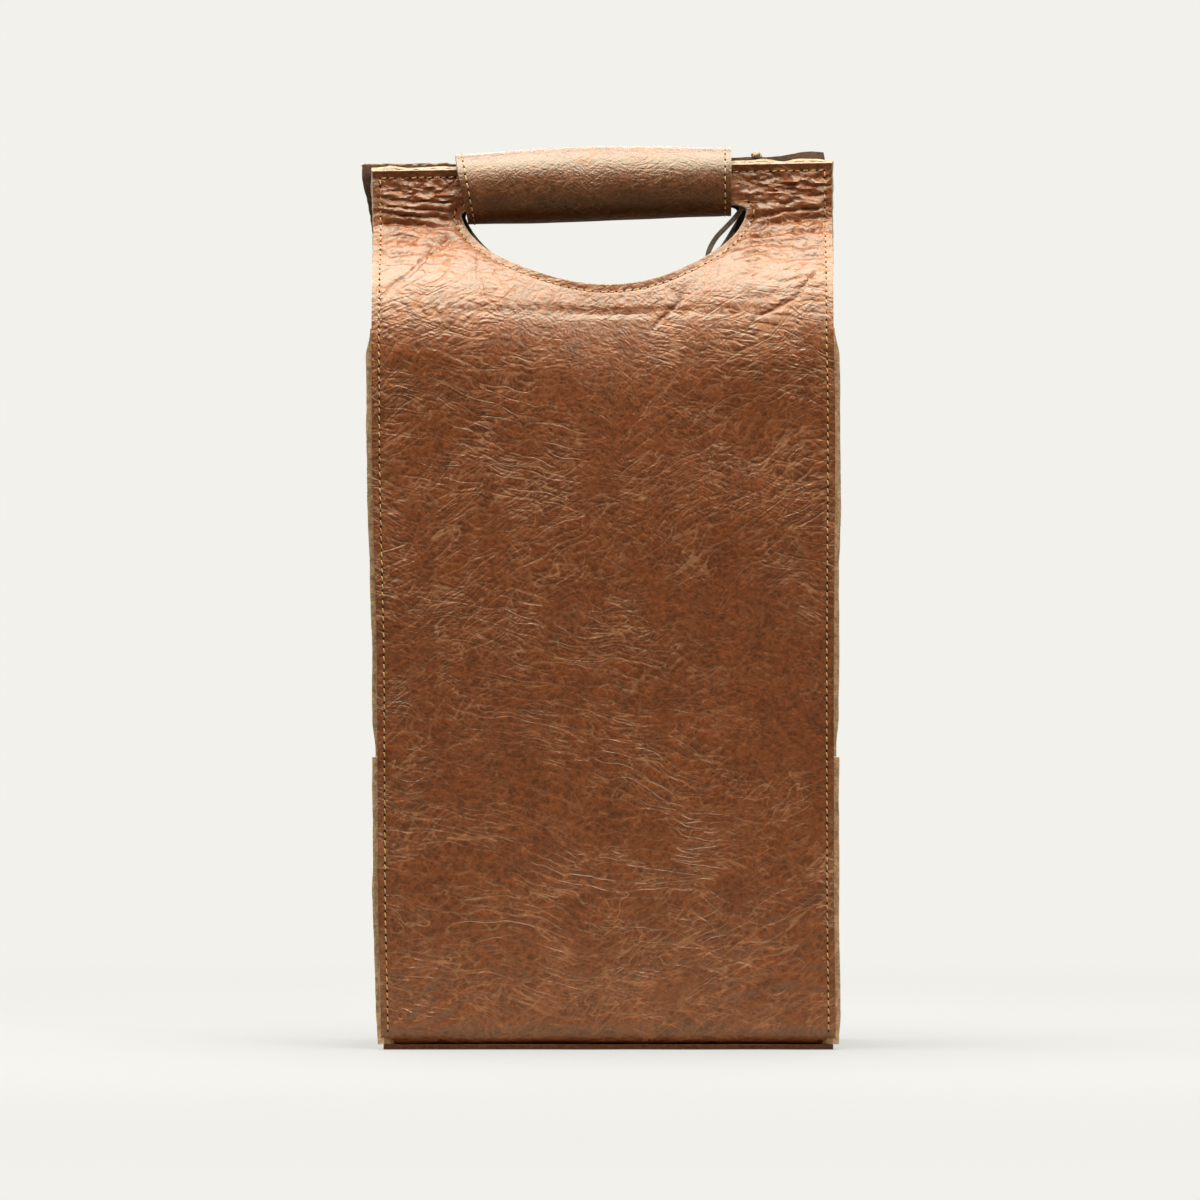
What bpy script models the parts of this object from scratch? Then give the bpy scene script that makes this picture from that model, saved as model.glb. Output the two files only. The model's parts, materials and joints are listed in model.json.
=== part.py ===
"""Two-bottle leather carrying case, modelled as the cut, turned and sewn pieces it is made of.

Metres, +Z up. The front panel faces -Y and +X runs to the viewer's right. The origin lies on the floor
under the middle of the case.
"""

import math

import bmesh
import bpy
from mathutils import Matrix, Vector

MM = 0.001

# The case as a whole
PANEL_WIDTH = 188 * MM
CASE_DEPTH = 92 * MM
BEND_HEIGHT = 300 * MM
SHOULDER_RISE = 64 * MM
GUSSET_DROP = 4 * MM
CRADLE_TOP = 120 * MM
DIVIDER_TOP = 190 * MM

# Leather and board thicknesses, and the clearance kept between neighbouring layers
PANEL_LEATHER = 1.8 * MM
FACING_LEATHER = 1.8 * MM
GUSSET_LEATHER = 1.9 * MM
DIVIDER_LEATHER = 1.8 * MM
BOARD = 2.5 * MM
LINER_LEATHER = 1.2 * MM
LAYER_GAP = 0.3 * MM

# Panels: the rolled foot, the bend at the shoulder and the handle strip
FOOT_ROLL = 8 * MM
FOOT_TURN = 6 * MM
BEND_RADIUS = 14 * MM
STRIP_RADIUS = 10 * MM
STRIP_HEIGHT = 18.4 * MM
STRIP_SPACE = 3.0 * MM
BACK_RISE = 1.5 * MM
BACK_SHIFT = -2.2 * MM
FACING_START = 3 * MM

# Half-moon hand hole, as cut through both panels
HOLE_WIDTH = 119.8 * MM
HOLE_DROP = 31.2 * MM

# Gussets, whose raw seam flange stands out past the panels
SEAM_WIDTH = 4.0 * MM
FLANGE_PROUD = 2.2 * MM
GUSSET_TURN = 2.5 * MM
BASE_SETBACK = 1.2 * MM
LAP = 8 * MM

# Divider between the two bottles
DIVIDER_FLANGE = 10 * MM
DIVIDER_TURN = 2.5 * MM

# Handle wrap
WRAP_RADIUS = 15 * MM
WRAP_LEATHER = 1.8 * MM
WRAP_CROWN = 5.6 * MM
WRAP_LEFT = -61.5 * MM
WRAP_RIGHT = 52.5 * MM
WRAP_SLANT = 5.2 * MM
WRAP_HINGE_LIFT = 0.2 * MM
HINGE_EDGE_DEG = 2.0
FLAP_REACH_DEG = 191.0
UNDERLAP_END_DEG = -115.0
UNDERLAP_STEP_DEG = (-50.0, -72.0)

# Flat magnetic snaps, sunk flush in the wrap and its underlap
SNAP_RADIUS = 3.0 * MM
SNAP_THICKNESS = 0.7 * MM
SNAP_SKIN = 0.7 * MM
SNAP_INSET = 24 * MM
SNAP_BACK = -1.0 * MM

# Leather lace looped round the back handle strip, and the knot on top of the strip
LACE_DIAMETER = 1.8 * MM
LACE_OUT = 10.7 * MM
LACE_LEAN = -18.7 * MM
LACE_REACH = 38.5 * MM
KNOT_WIDTH = 4.2 * MM
KNOT_HEIGHT = 2.4 * MM

HALF_WIDTH = PANEL_WIDTH / 2
HALF_DEPTH = CASE_DEPTH / 2
STRIP_FACE = STRIP_SPACE / 2 + FACING_LEATHER + LAYER_GAP + PANEL_LEATHER
STRIP_TOP = BEND_HEIGHT + SHOULDER_RISE
STRIP_FOOT = STRIP_TOP - STRIP_HEIGHT
GUSSET_TOP = BEND_HEIGHT - GUSSET_DROP
FOOT_LEVEL = GUSSET_LEATHER + LAYER_GAP
ROLL_TOP = FOOT_LEVEL + FOOT_ROLL
GUSSET_WALL = HALF_WIDTH - SEAM_WIDTH - GUSSET_LEATHER / 2
GUSSET_INSIDE = GUSSET_WALL - GUSSET_LEATHER / 2
FLANGE_Y = HALF_DEPTH - PANEL_LEATHER - LAYER_GAP - GUSSET_LEATHER / 2
BOARD_FOOT = FOOT_LEVEL + PANEL_LEATHER + LAYER_GAP
WRAP_Z = STRIP_TOP + WRAP_CROWN - WRAP_RADIUS
WRAP_MID = WRAP_RADIUS - WRAP_LEATHER / 2
UNDERLAP_DROP = WRAP_LEATHER + LAYER_GAP
LACE_X = WRAP_RIGHT + LACE_OUT
LACE_FOOT_Z = STRIP_TOP - LACE_REACH
ARC_STEP_DEG = 6.0

LEATHER_TAN = (0.300, 0.120, 0.047)
LEATHER_WRAP = (0.260, 0.100, 0.042)
LEATHER_RAW = (0.480, 0.290, 0.140)
LEATHER_DARK = (0.060, 0.026, 0.015)
BOARD_GREY = (0.240, 0.200, 0.150)
STEEL = (0.560, 0.570, 0.580)


def remove_startup_objects():
    for obj in list(bpy.data.objects):
        bpy.data.objects.remove(obj, do_unlink=True)


def make_collection(name, hidden=False):
    found = bpy.data.collections.new(name)
    bpy.context.scene.collection.children.link(found)
    found.hide_render = hidden
    return found


def make_material(name, colour, roughness, metallic=0.0):
    material = bpy.data.materials.new(name)
    material.use_nodes = True
    shader = material.node_tree.nodes["Principled BSDF"]
    shader.inputs["Base Color"].default_value = (*colour, 1.0)
    shader.inputs["Roughness"].default_value = roughness
    shader.inputs["Metallic"].default_value = metallic
    return material


def arc(centre, radius, start_deg, end_deg):
    """Points on a circle from one angle to another, in the plane of the given centre."""
    steps = max(2, math.ceil(abs(end_deg - start_deg) / ARC_STEP_DEG))
    found = []
    for i in range(steps + 1):
        angle = math.radians(start_deg + (end_deg - start_deg) * i / steps)
        found.append((centre[0] + radius * math.cos(angle), centre[1] + radius * math.sin(angle)))
    return found


def add_object(name, mesh, collection, material=None):
    obj = bpy.data.objects.new(name, mesh)
    collection.objects.link(obj)
    if material:
        mesh.materials.append(material)
    return obj


def add_solidify(obj, thickness, offset):
    modifier = obj.modifiers.new("Thickness", "SOLIDIFY")
    modifier.thickness = thickness
    modifier.offset = offset
    modifier.use_even_offset = True


def add_boolean(obj, other, operation):
    modifier = obj.modifiers.new(f"{operation.title()} {other.name}", "BOOLEAN")
    modifier.operation = operation
    modifier.solver = "EXACT"
    modifier.object = other


def make_sheet(name, rail, far, outward, collection, material=None):
    """An open leather surface: a rail of points, extruded to the points that far() gives for them."""
    bm = bmesh.new()
    verts = [bm.verts.new(point) for point in rail]
    edges = [bm.edges.new(pair) for pair in zip(verts, verts[1:])]
    grown = bmesh.ops.extrude_edge_only(bm, edges=edges)["geom"]
    for vert in (item for item in grown if isinstance(item, bmesh.types.BMVert)):
        vert.co = far(vert.co)
    bmesh.ops.recalc_face_normals(bm, faces=bm.faces)
    bm.faces.ensure_lookup_table()
    if bm.faces[0].normal.dot(Vector(outward)) < 0:
        bmesh.ops.reverse_faces(bm, faces=bm.faces)
    mesh = bpy.data.meshes.new(name)
    bm.to_mesh(mesh)
    bm.free()
    return add_object(name, mesh, collection, material)


def make_box(name, low, high, collection, material=None):
    bm = bmesh.new()
    bmesh.ops.create_cube(bm, size=1.0)
    size = Vector(high) - Vector(low)
    middle = (Vector(high) + Vector(low)) / 2
    bmesh.ops.transform(bm, matrix=Matrix.Translation(middle) @ Matrix.Diagonal((*size, 1.0)), verts=bm.verts)
    mesh = bpy.data.meshes.new(name)
    bm.to_mesh(mesh)
    bm.free()
    return add_object(name, mesh, collection, material)


def make_disc(name, centre, radius, thickness, collection, material=None):
    bm = bmesh.new()
    bmesh.ops.create_cone(
        bm, cap_ends=True, segments=32, radius1=radius, radius2=radius, depth=thickness,
        matrix=Matrix.Translation(centre),
    )
    mesh = bpy.data.meshes.new(name)
    bm.to_mesh(mesh)
    bm.free()
    return add_object(name, mesh, collection, material)


def mark_cutter(obj):
    obj.hide_render = True
    obj.display_type = "WIRE"
    return obj


def lean_angle():
    """The angle of the straight slope between the shoulder bend and the handle strip, in degrees."""
    radii = BEND_RADIUS + STRIP_RADIUS
    across = radii - (HALF_DEPTH - STRIP_FACE)
    up = STRIP_FOOT - BEND_HEIGHT
    return math.degrees(math.atan2(up, across) - math.acos(radii / math.hypot(across, up)))


def upper_profile(inset, top):
    """(depth, height) of a panel's upper part, for the face that lies this far inside the outer one."""
    lean = lean_angle()
    bend = arc((-HALF_DEPTH + BEND_RADIUS, BEND_HEIGHT), BEND_RADIUS - inset, 180, 180 - lean)
    strip = arc((-STRIP_FACE - STRIP_RADIUS, STRIP_FOOT), STRIP_RADIUS + inset, -lean, 0)
    return bend + strip + [(-STRIP_FACE + inset, top)]


def lower_profile():
    """(depth, height) of a panel's outer face, from the edge turned under it to the shoulder bend."""
    roll = arc((-HALF_DEPTH + FOOT_ROLL, ROLL_TOP), FOOT_ROLL, 270, 180)
    turned = (-HALF_DEPTH + FOOT_ROLL + FOOT_TURN, FOOT_LEVEL)
    return [turned] + roll + [(-HALF_DEPTH, BEND_HEIGHT - LAYER_GAP)]


def top_shift(height, amount):
    """Sideways shift at this height of an upper panel whose top is pulled sideways by the amount."""
    share = max(0.0, (height - BEND_HEIGHT) / (STRIP_TOP - BEND_HEIGHT))
    return amount * share


def make_hand_hole(collection):
    """The half-moon cutter: half an ellipse under a straight top, through both panels."""
    bm = bmesh.new()
    outline = []
    for i in range(33):
        angle = math.pi * i / 32
        across = HOLE_WIDTH / 2 * math.cos(angle)
        outline.append(bm.verts.new((across, -CASE_DEPTH, STRIP_FOOT - HOLE_DROP * math.sin(angle))))
    face = bm.faces.new(outline)
    grown = bmesh.ops.extrude_face_region(bm, geom=[face])["geom"]
    moved = [item for item in grown if isinstance(item, bmesh.types.BMVert)]
    bmesh.ops.translate(bm, vec=(0, 2 * CASE_DEPTH, 0), verts=moved)
    bmesh.ops.recalc_face_normals(bm, faces=bm.faces)
    mesh = bpy.data.meshes.new("hand_hole_cutter")
    bm.to_mesh(mesh)
    bm.free()
    return mark_cutter(add_object("hand_hole_cutter", mesh, collection))


def make_upper(name, side, inset, thickness, start, hole, parts, material):
    """A panel's upper part or its facing. side is -1 at the front and 1 at the back."""
    top = STRIP_TOP + (BACK_RISE if side > 0 else 0.0)
    shift = BACK_SHIFT if side > 0 else 0.0
    first = BEND_HEIGHT + start
    profile = [point for point in upper_profile(inset, top) if point[1] >= first]
    profile = [(profile[0][0], first)] + profile
    rail = [(-HALF_WIDTH + top_shift(z, shift), -side * y, z) for y, z in profile]
    panel = make_sheet(name, rail, lambda p: p + Vector((PANEL_WIDTH, 0, 0)), (0, side, 0), parts, material)
    add_solidify(panel, thickness, -1)
    add_boolean(panel, hole, "DIFFERENCE")
    return panel


def make_lower(name, side, parts, cutters, material):
    """A panel's lower part, whose foot is rolled under and notched where the gussets stand."""
    rail = [(-HALF_WIDTH, -side * y, z) for y, z in lower_profile()]
    panel = make_sheet(name, rail, lambda p: p + Vector((PANEL_WIDTH, 0, 0)), (0, 0, -1), parts, material)
    add_solidify(panel, PANEL_LEATHER, -1)
    near = HALF_DEPTH - PANEL_LEATHER
    far = HALF_DEPTH - FOOT_ROLL - 2 * FOOT_TURN
    for hand in (-1, 1):
        xs = sorted((hand * (GUSSET_INSIDE - LAYER_GAP), hand * PANEL_WIDTH))
        ys = sorted((side * near, side * far))
        label = f"{name}_notch_{'left' if hand < 0 else 'right'}"
        notch = make_box(label, (xs[0], ys[0], -LAP), (xs[1], ys[1], ROLL_TOP), cutters)
        add_boolean(panel, mark_cutter(notch), "DIFFERENCE")
    return panel


def channel_rail(hand, low):
    """Plan of a gusset, front flange to back flange, at the height low."""
    tip = HALF_WIDTH + FLANGE_PROUD
    corner = GUSSET_WALL + GUSSET_TURN
    front = arc((corner, -FLANGE_Y + GUSSET_TURN), GUSSET_TURN, 270, 180)
    back = arc((corner, FLANGE_Y - GUSSET_TURN), GUSSET_TURN, 180, 90)
    plan = [(tip, -FLANGE_Y)] + front + back + [(tip, FLANGE_Y)]
    return [(hand * x, y, low) for x, y in plan]


def make_channel(name, hand, low, high, collection, material=None):
    rise = Vector((0, 0, high - low))
    channel = make_sheet(
        name, channel_rail(hand, low), lambda p: p + rise, (0, -1, 0), collection, material
    )
    add_solidify(channel, GUSSET_LEATHER, 0)
    return channel


def make_gusset(name, hand, parts, cutters, material):
    """An upper gusset, whose lower edge steps inwards to lap behind the cradle's wall."""
    gusset = make_channel(name, hand, CRADLE_TOP + LAYER_GAP, GUSSET_TOP, parts, material)
    inner = GUSSET_WALL - GUSSET_LEATHER - LAYER_GAP
    sunk = GUSSET_WALL - LAYER_GAP
    lap_path = (
        (inner, CRADLE_TOP - LAP),
        (inner, CRADLE_TOP + LAP / 4),
        (sunk, CRADLE_TOP + LAP),
        (sunk, CRADLE_TOP + 2 * LAP),
    )
    reach = FLANGE_Y - 2 * GUSSET_TURN
    rail = [(hand * x, -reach, z) for x, z in lap_path]
    lap = make_sheet(f"{name}_lap", rail, lambda p: p + Vector((0, 2 * reach, 0)), (hand, 0, 0), cutters)
    add_solidify(lap, GUSSET_LEATHER, 0)
    add_boolean(gusset, mark_cutter(lap), "UNION")
    return gusset


def make_cradle(parts, cutters, material):
    """The strip that runs up one side, under the base and up the other side."""
    base_half = GUSSET_WALL + GUSSET_LEATHER / 2 + LAYER_GAP
    depth_half = HALF_DEPTH - BASE_SETBACK
    cradle = make_box(
        "cradle", (-base_half, -depth_half, 0), (base_half, depth_half, GUSSET_LEATHER), parts, material
    )
    for hand, label in ((-1, "left"), (1, "right")):
        side = make_channel(f"cradle_side_{label}", hand, GUSSET_LEATHER / 2, CRADLE_TOP, cutters)
        add_boolean(cradle, mark_cutter(side), "UNION")
    return cradle


def make_base_board(parts, material):
    half_x = GUSSET_INSIDE - LAYER_GAP
    half_y = HALF_DEPTH - FOOT_ROLL - 2 * LAYER_GAP
    top = BOARD_FOOT + BOARD
    return make_box("base_board", (-half_x, -half_y, BOARD_FOOT), (half_x, half_y, top), parts, material)


def make_base_liner(parts, material):
    half_x = GUSSET_INSIDE - LAYER_GAP
    half_y = HALF_DEPTH - FOOT_ROLL - 2 * LAYER_GAP
    low = BOARD_FOOT + BOARD + LAYER_GAP
    return make_box("base_liner", (-half_x, -half_y, low), (half_x, half_y, low + LINER_LEATHER), parts, material)


def make_divider(parts, material):
    """The sheet between the bottles, with an edge turned along each panel."""
    face = HALF_DEPTH - PANEL_LEATHER - LAYER_GAP - DIVIDER_LEATHER / 2
    front = arc((DIVIDER_TURN, -face + DIVIDER_TURN), DIVIDER_TURN, 270, 180)
    back = arc((DIVIDER_TURN, face - DIVIDER_TURN), DIVIDER_TURN, 180, 90)
    plan = [(DIVIDER_FLANGE, -face)] + front + back + [(DIVIDER_FLANGE, face)]
    rail = [(x, y, ROLL_TOP) for x, y in plan]
    rise = Vector((0, 0, DIVIDER_TOP - ROLL_TOP))
    divider = make_sheet("divider", rail, lambda p: p + rise, (0, -1, 0), parts, material)
    add_solidify(divider, DIVIDER_LEATHER, 0)
    return divider


def wrap_rail(profile):
    """The slanted left end of a wrap piece, from its (angle, radius) section."""
    rail = []
    for angle, radius in profile:
        y = radius * math.cos(math.radians(angle))
        z = radius * math.sin(math.radians(angle))
        slant = WRAP_SLANT * (WRAP_RADIUS - z) / (2 * WRAP_RADIUS)
        rail.append((WRAP_LEFT + slant, y, WRAP_Z + z))
    return rail


def make_wrap_sheet(name, profile, outward, parts, material):
    rail = wrap_rail(profile)
    wrap = make_sheet(name, rail, lambda p: Vector((WRAP_RIGHT, p.y, p.z)), outward, parts, material)
    add_solidify(wrap, WRAP_LEATHER, 0)
    return wrap


def angles_between(start, end):
    steps = math.ceil(abs(end - start) / ARC_STEP_DEG)
    return [start + (end - start) * i / steps for i in range(steps + 1)]


def underlap_radius(angle):
    """The wrap's back half spirals in under the flap between the two step angles."""
    start, end = UNDERLAP_STEP_DEG
    share = min(1.0, max(0.0, (start - angle) / (start - end)))
    return WRAP_MID - UNDERLAP_DROP * share * share * (3 - 2 * share)


def snap_places():
    left = WRAP_LEFT + WRAP_SLANT + SNAP_INSET
    right = WRAP_RIGHT - SNAP_INSET
    return (("left", left), ("right", right))


def make_wrap(parts, cutters, leather, steel):
    """Both halves of the handle wrap and the snaps that close them: (back pieces, flap pieces)."""
    back_profile = [(a, underlap_radius(a)) for a in angles_between(90 - HINGE_EDGE_DEG, UNDERLAP_END_DEG)]
    flap_start = 90 + HINGE_EDGE_DEG
    flap_profile = [(a, WRAP_MID) for a in angles_between(flap_start, flap_start + FLAP_REACH_DEG)]
    back = make_wrap_sheet("wrap_back", back_profile, (0, 0, 1), parts, leather)
    flap = make_wrap_sheet("wrap_flap", flap_profile, (0, 0, 1), parts, leather)
    floor = WRAP_Z - WRAP_RADIUS + SNAP_SKIN
    roof = WRAP_Z - (WRAP_MID - UNDERLAP_DROP - WRAP_LEATHER / 2) - SNAP_SKIN + LAYER_GAP / 2
    depth = 4 * WRAP_LEATHER
    plates, magnets = [], []
    for label, x in snap_places():
        bore = SNAP_RADIUS + LAYER_GAP
        low = make_disc(f"flap_pocket_{label}", (x, SNAP_BACK, floor + depth / 2), bore, depth, cutters)
        add_boolean(flap, mark_cutter(low), "DIFFERENCE")
        high = make_disc(f"underlap_pocket_{label}", (x, SNAP_BACK, roof - depth / 2), bore, depth, cutters)
        add_boolean(back, mark_cutter(high), "DIFFERENCE")
        drop = LAYER_GAP + SNAP_THICKNESS / 2
        magnets.append(
            make_disc(f"snap_magnet_{label}", (x, SNAP_BACK, floor + drop), SNAP_RADIUS, SNAP_THICKNESS, parts, steel)
        )
        plates.append(
            make_disc(f"snap_plate_{label}", (x, SNAP_BACK, roof - drop), SNAP_RADIUS, SNAP_THICKNESS, parts, steel)
        )
    return [back, *plates], [flap, *magnets]


def lace_route():
    """The lace from its knot, down inside the back strip, through the hand hole and up the outside."""
    top = STRIP_TOP + BACK_RISE
    inside = 0.0
    outside = STRIP_FACE + LAYER_GAP + LACE_DIAMETER / 2
    middle = (inside + outside) / 2
    drop = top - LACE_FOOT_Z
    down = [
        (LACE_X, inside, top + LAYER_GAP),
        (LACE_X - 0.02 * drop, inside, top - 0.14 * drop),
        (LACE_X - 0.06 * drop, inside, top - 0.30 * drop),
        (LACE_X + 0.26 * LACE_LEAN, inside, top - 0.46 * drop),
        (LACE_X + 0.50 * LACE_LEAN, inside + 0.1 * MM, top - 0.64 * drop),
        (LACE_X + 0.76 * LACE_LEAN, inside + 0.1 * MM, top - 0.80 * drop),
        (LACE_X + 0.92 * LACE_LEAN, inside + 0.6 * MM, top - 0.92 * drop),
    ]
    foot = [(LACE_X + LACE_LEAN, middle, LACE_FOOT_Z)]
    up = [(x + 0.4 * MM, outside + inside - y, z) for x, y, z in reversed(down)]
    return down + foot + up


def smooth_route(points, spacing):
    """Points at about the given spacing on a smooth curve through the route's own points."""
    ends = [tuple(2 * a - b for a, b in zip(points[0], points[1]))]
    tail = [tuple(2 * a - b for a, b in zip(points[-1], points[-2]))]
    whole = [Vector(p) for p in ends + list(points) + tail]
    found = []
    for p0, p1, p2, p3 in zip(whole, whole[1:], whole[2:], whole[3:]):
        steps = max(1, round((p2 - p1).length / spacing))
        for i in range(steps):
            t = i / steps
            found.append(
                0.5 * (2 * p1 + (p2 - p0) * t + (2 * p0 - 5 * p1 + 4 * p2 - p3) * t * t
                       + (3 * p1 - p0 - 3 * p2 + p3) * t ** 3)
            )
    return found + [whole[-2]]


def make_lace(parts, material):
    points = smooth_route(lace_route(), 2 * LACE_DIAMETER)
    curve = bpy.data.curves.new("lace_loop", "CURVE")
    curve.dimensions = "3D"
    curve.bevel_depth = LACE_DIAMETER / 2
    curve.bevel_resolution = 2
    curve.use_fill_caps = True
    spline = curve.splines.new("POLY")
    spline.points.add(len(points) - 1)
    for target, point in zip(spline.points, points):
        target.co = (*point, 1.0)
    return add_object("lace_loop", curve, parts, material)


def make_lace_knot(parts, material):
    """The knot that joins the lace's ends, sitting on the back strip's top edge."""
    outside = STRIP_FACE + LAYER_GAP + LACE_DIAMETER / 2
    low = STRIP_TOP + BACK_RISE + 2 * LAYER_GAP
    reach = LACE_DIAMETER / 2
    knot = make_box(
        "lace_knot",
        (LACE_X - KNOT_WIDTH / 2, -reach, low),
        (LACE_X + KNOT_WIDTH / 2, outside + reach, low + KNOT_HEIGHT),
        parts,
        material,
    )
    bevel = knot.modifiers.new("Rounded", "BEVEL")
    bevel.width = KNOT_HEIGHT / 3
    bevel.segments = 2
    return knot


def hang_on(name, place, pieces, parent=None):
    """Parents the pieces to an empty on their hinge axis, leaving them where they are."""
    axis = bpy.data.objects.new(name, None)
    axis.location = place
    bpy.context.scene.collection.objects.link(axis)
    if parent:
        axis.parent = parent
        axis.matrix_parent_inverse = parent.matrix_world.inverted()
    bpy.context.view_layer.update()
    for piece in pieces:
        piece.parent = axis
        piece.matrix_parent_inverse = axis.matrix_world.inverted()
    return axis


def main():
    remove_startup_objects()
    parts = make_collection("leather_bottle_case")
    cutters = make_collection("cutters", hidden=True)
    tan = make_material("grain leather", LEATHER_TAN, 0.52)
    wrap_tan = make_material("wrap leather", LEATHER_WRAP, 0.42)
    raw = make_material("raw edge leather", LEATHER_RAW, 0.85)
    dark = make_material("flesh side leather", LEATHER_DARK, 0.80)
    board = make_material("fibre board", BOARD_GREY, 0.90)
    steel = make_material("plated steel", STEEL, 0.30, 1.0)

    make_lower("front_panel_lower", -1, parts, cutters, tan)
    make_lower("back_panel_lower", 1, parts, cutters, tan)
    make_cradle(parts, cutters, raw)
    make_gusset("left_gusset", -1, parts, cutters, raw)
    make_gusset("right_gusset", 1, parts, cutters, raw)
    make_base_board(parts, board)
    make_base_liner(parts, dark)
    make_divider(parts, dark)

    hole = make_hand_hole(cutters)
    facing_inset = PANEL_LEATHER + LAYER_GAP
    front = [
        make_upper("front_panel_upper", -1, 0.0, PANEL_LEATHER, LAYER_GAP, hole, parts, tan),
        make_upper("front_facing", -1, facing_inset, FACING_LEATHER, FACING_START, hole, parts, dark),
    ]
    back = [
        make_upper("back_panel_upper", 1, 0.0, PANEL_LEATHER, LAYER_GAP, hole, parts, tan),
        make_upper("back_facing", 1, facing_inset, FACING_LEATHER, FACING_START, hole, parts, dark),
        make_lace(parts, dark),
        make_lace_knot(parts, raw),
    ]
    wrap_back, wrap_flap = make_wrap(parts, cutters, wrap_tan, steel)

    hang_on("front_top_hinge", (0, -HALF_DEPTH, BEND_HEIGHT), front)
    back_hinge = hang_on("back_top_hinge", (0, HALF_DEPTH, BEND_HEIGHT), back + wrap_back)
    flap_height = WRAP_Z + WRAP_RADIUS + WRAP_HINGE_LIFT
    hang_on("wrap_hinge", (0, 0, flap_height), wrap_flap, back_hinge)


main()
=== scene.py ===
"""Looks of a two-bottle leather carrying case, laid out as an add-on and run as a script.

Metres, +Z up, the front faces -Y. Each leather is cut flat, holed, folded along its section and then
settled into the slightly pulled shape of the real case.
"""

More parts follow.
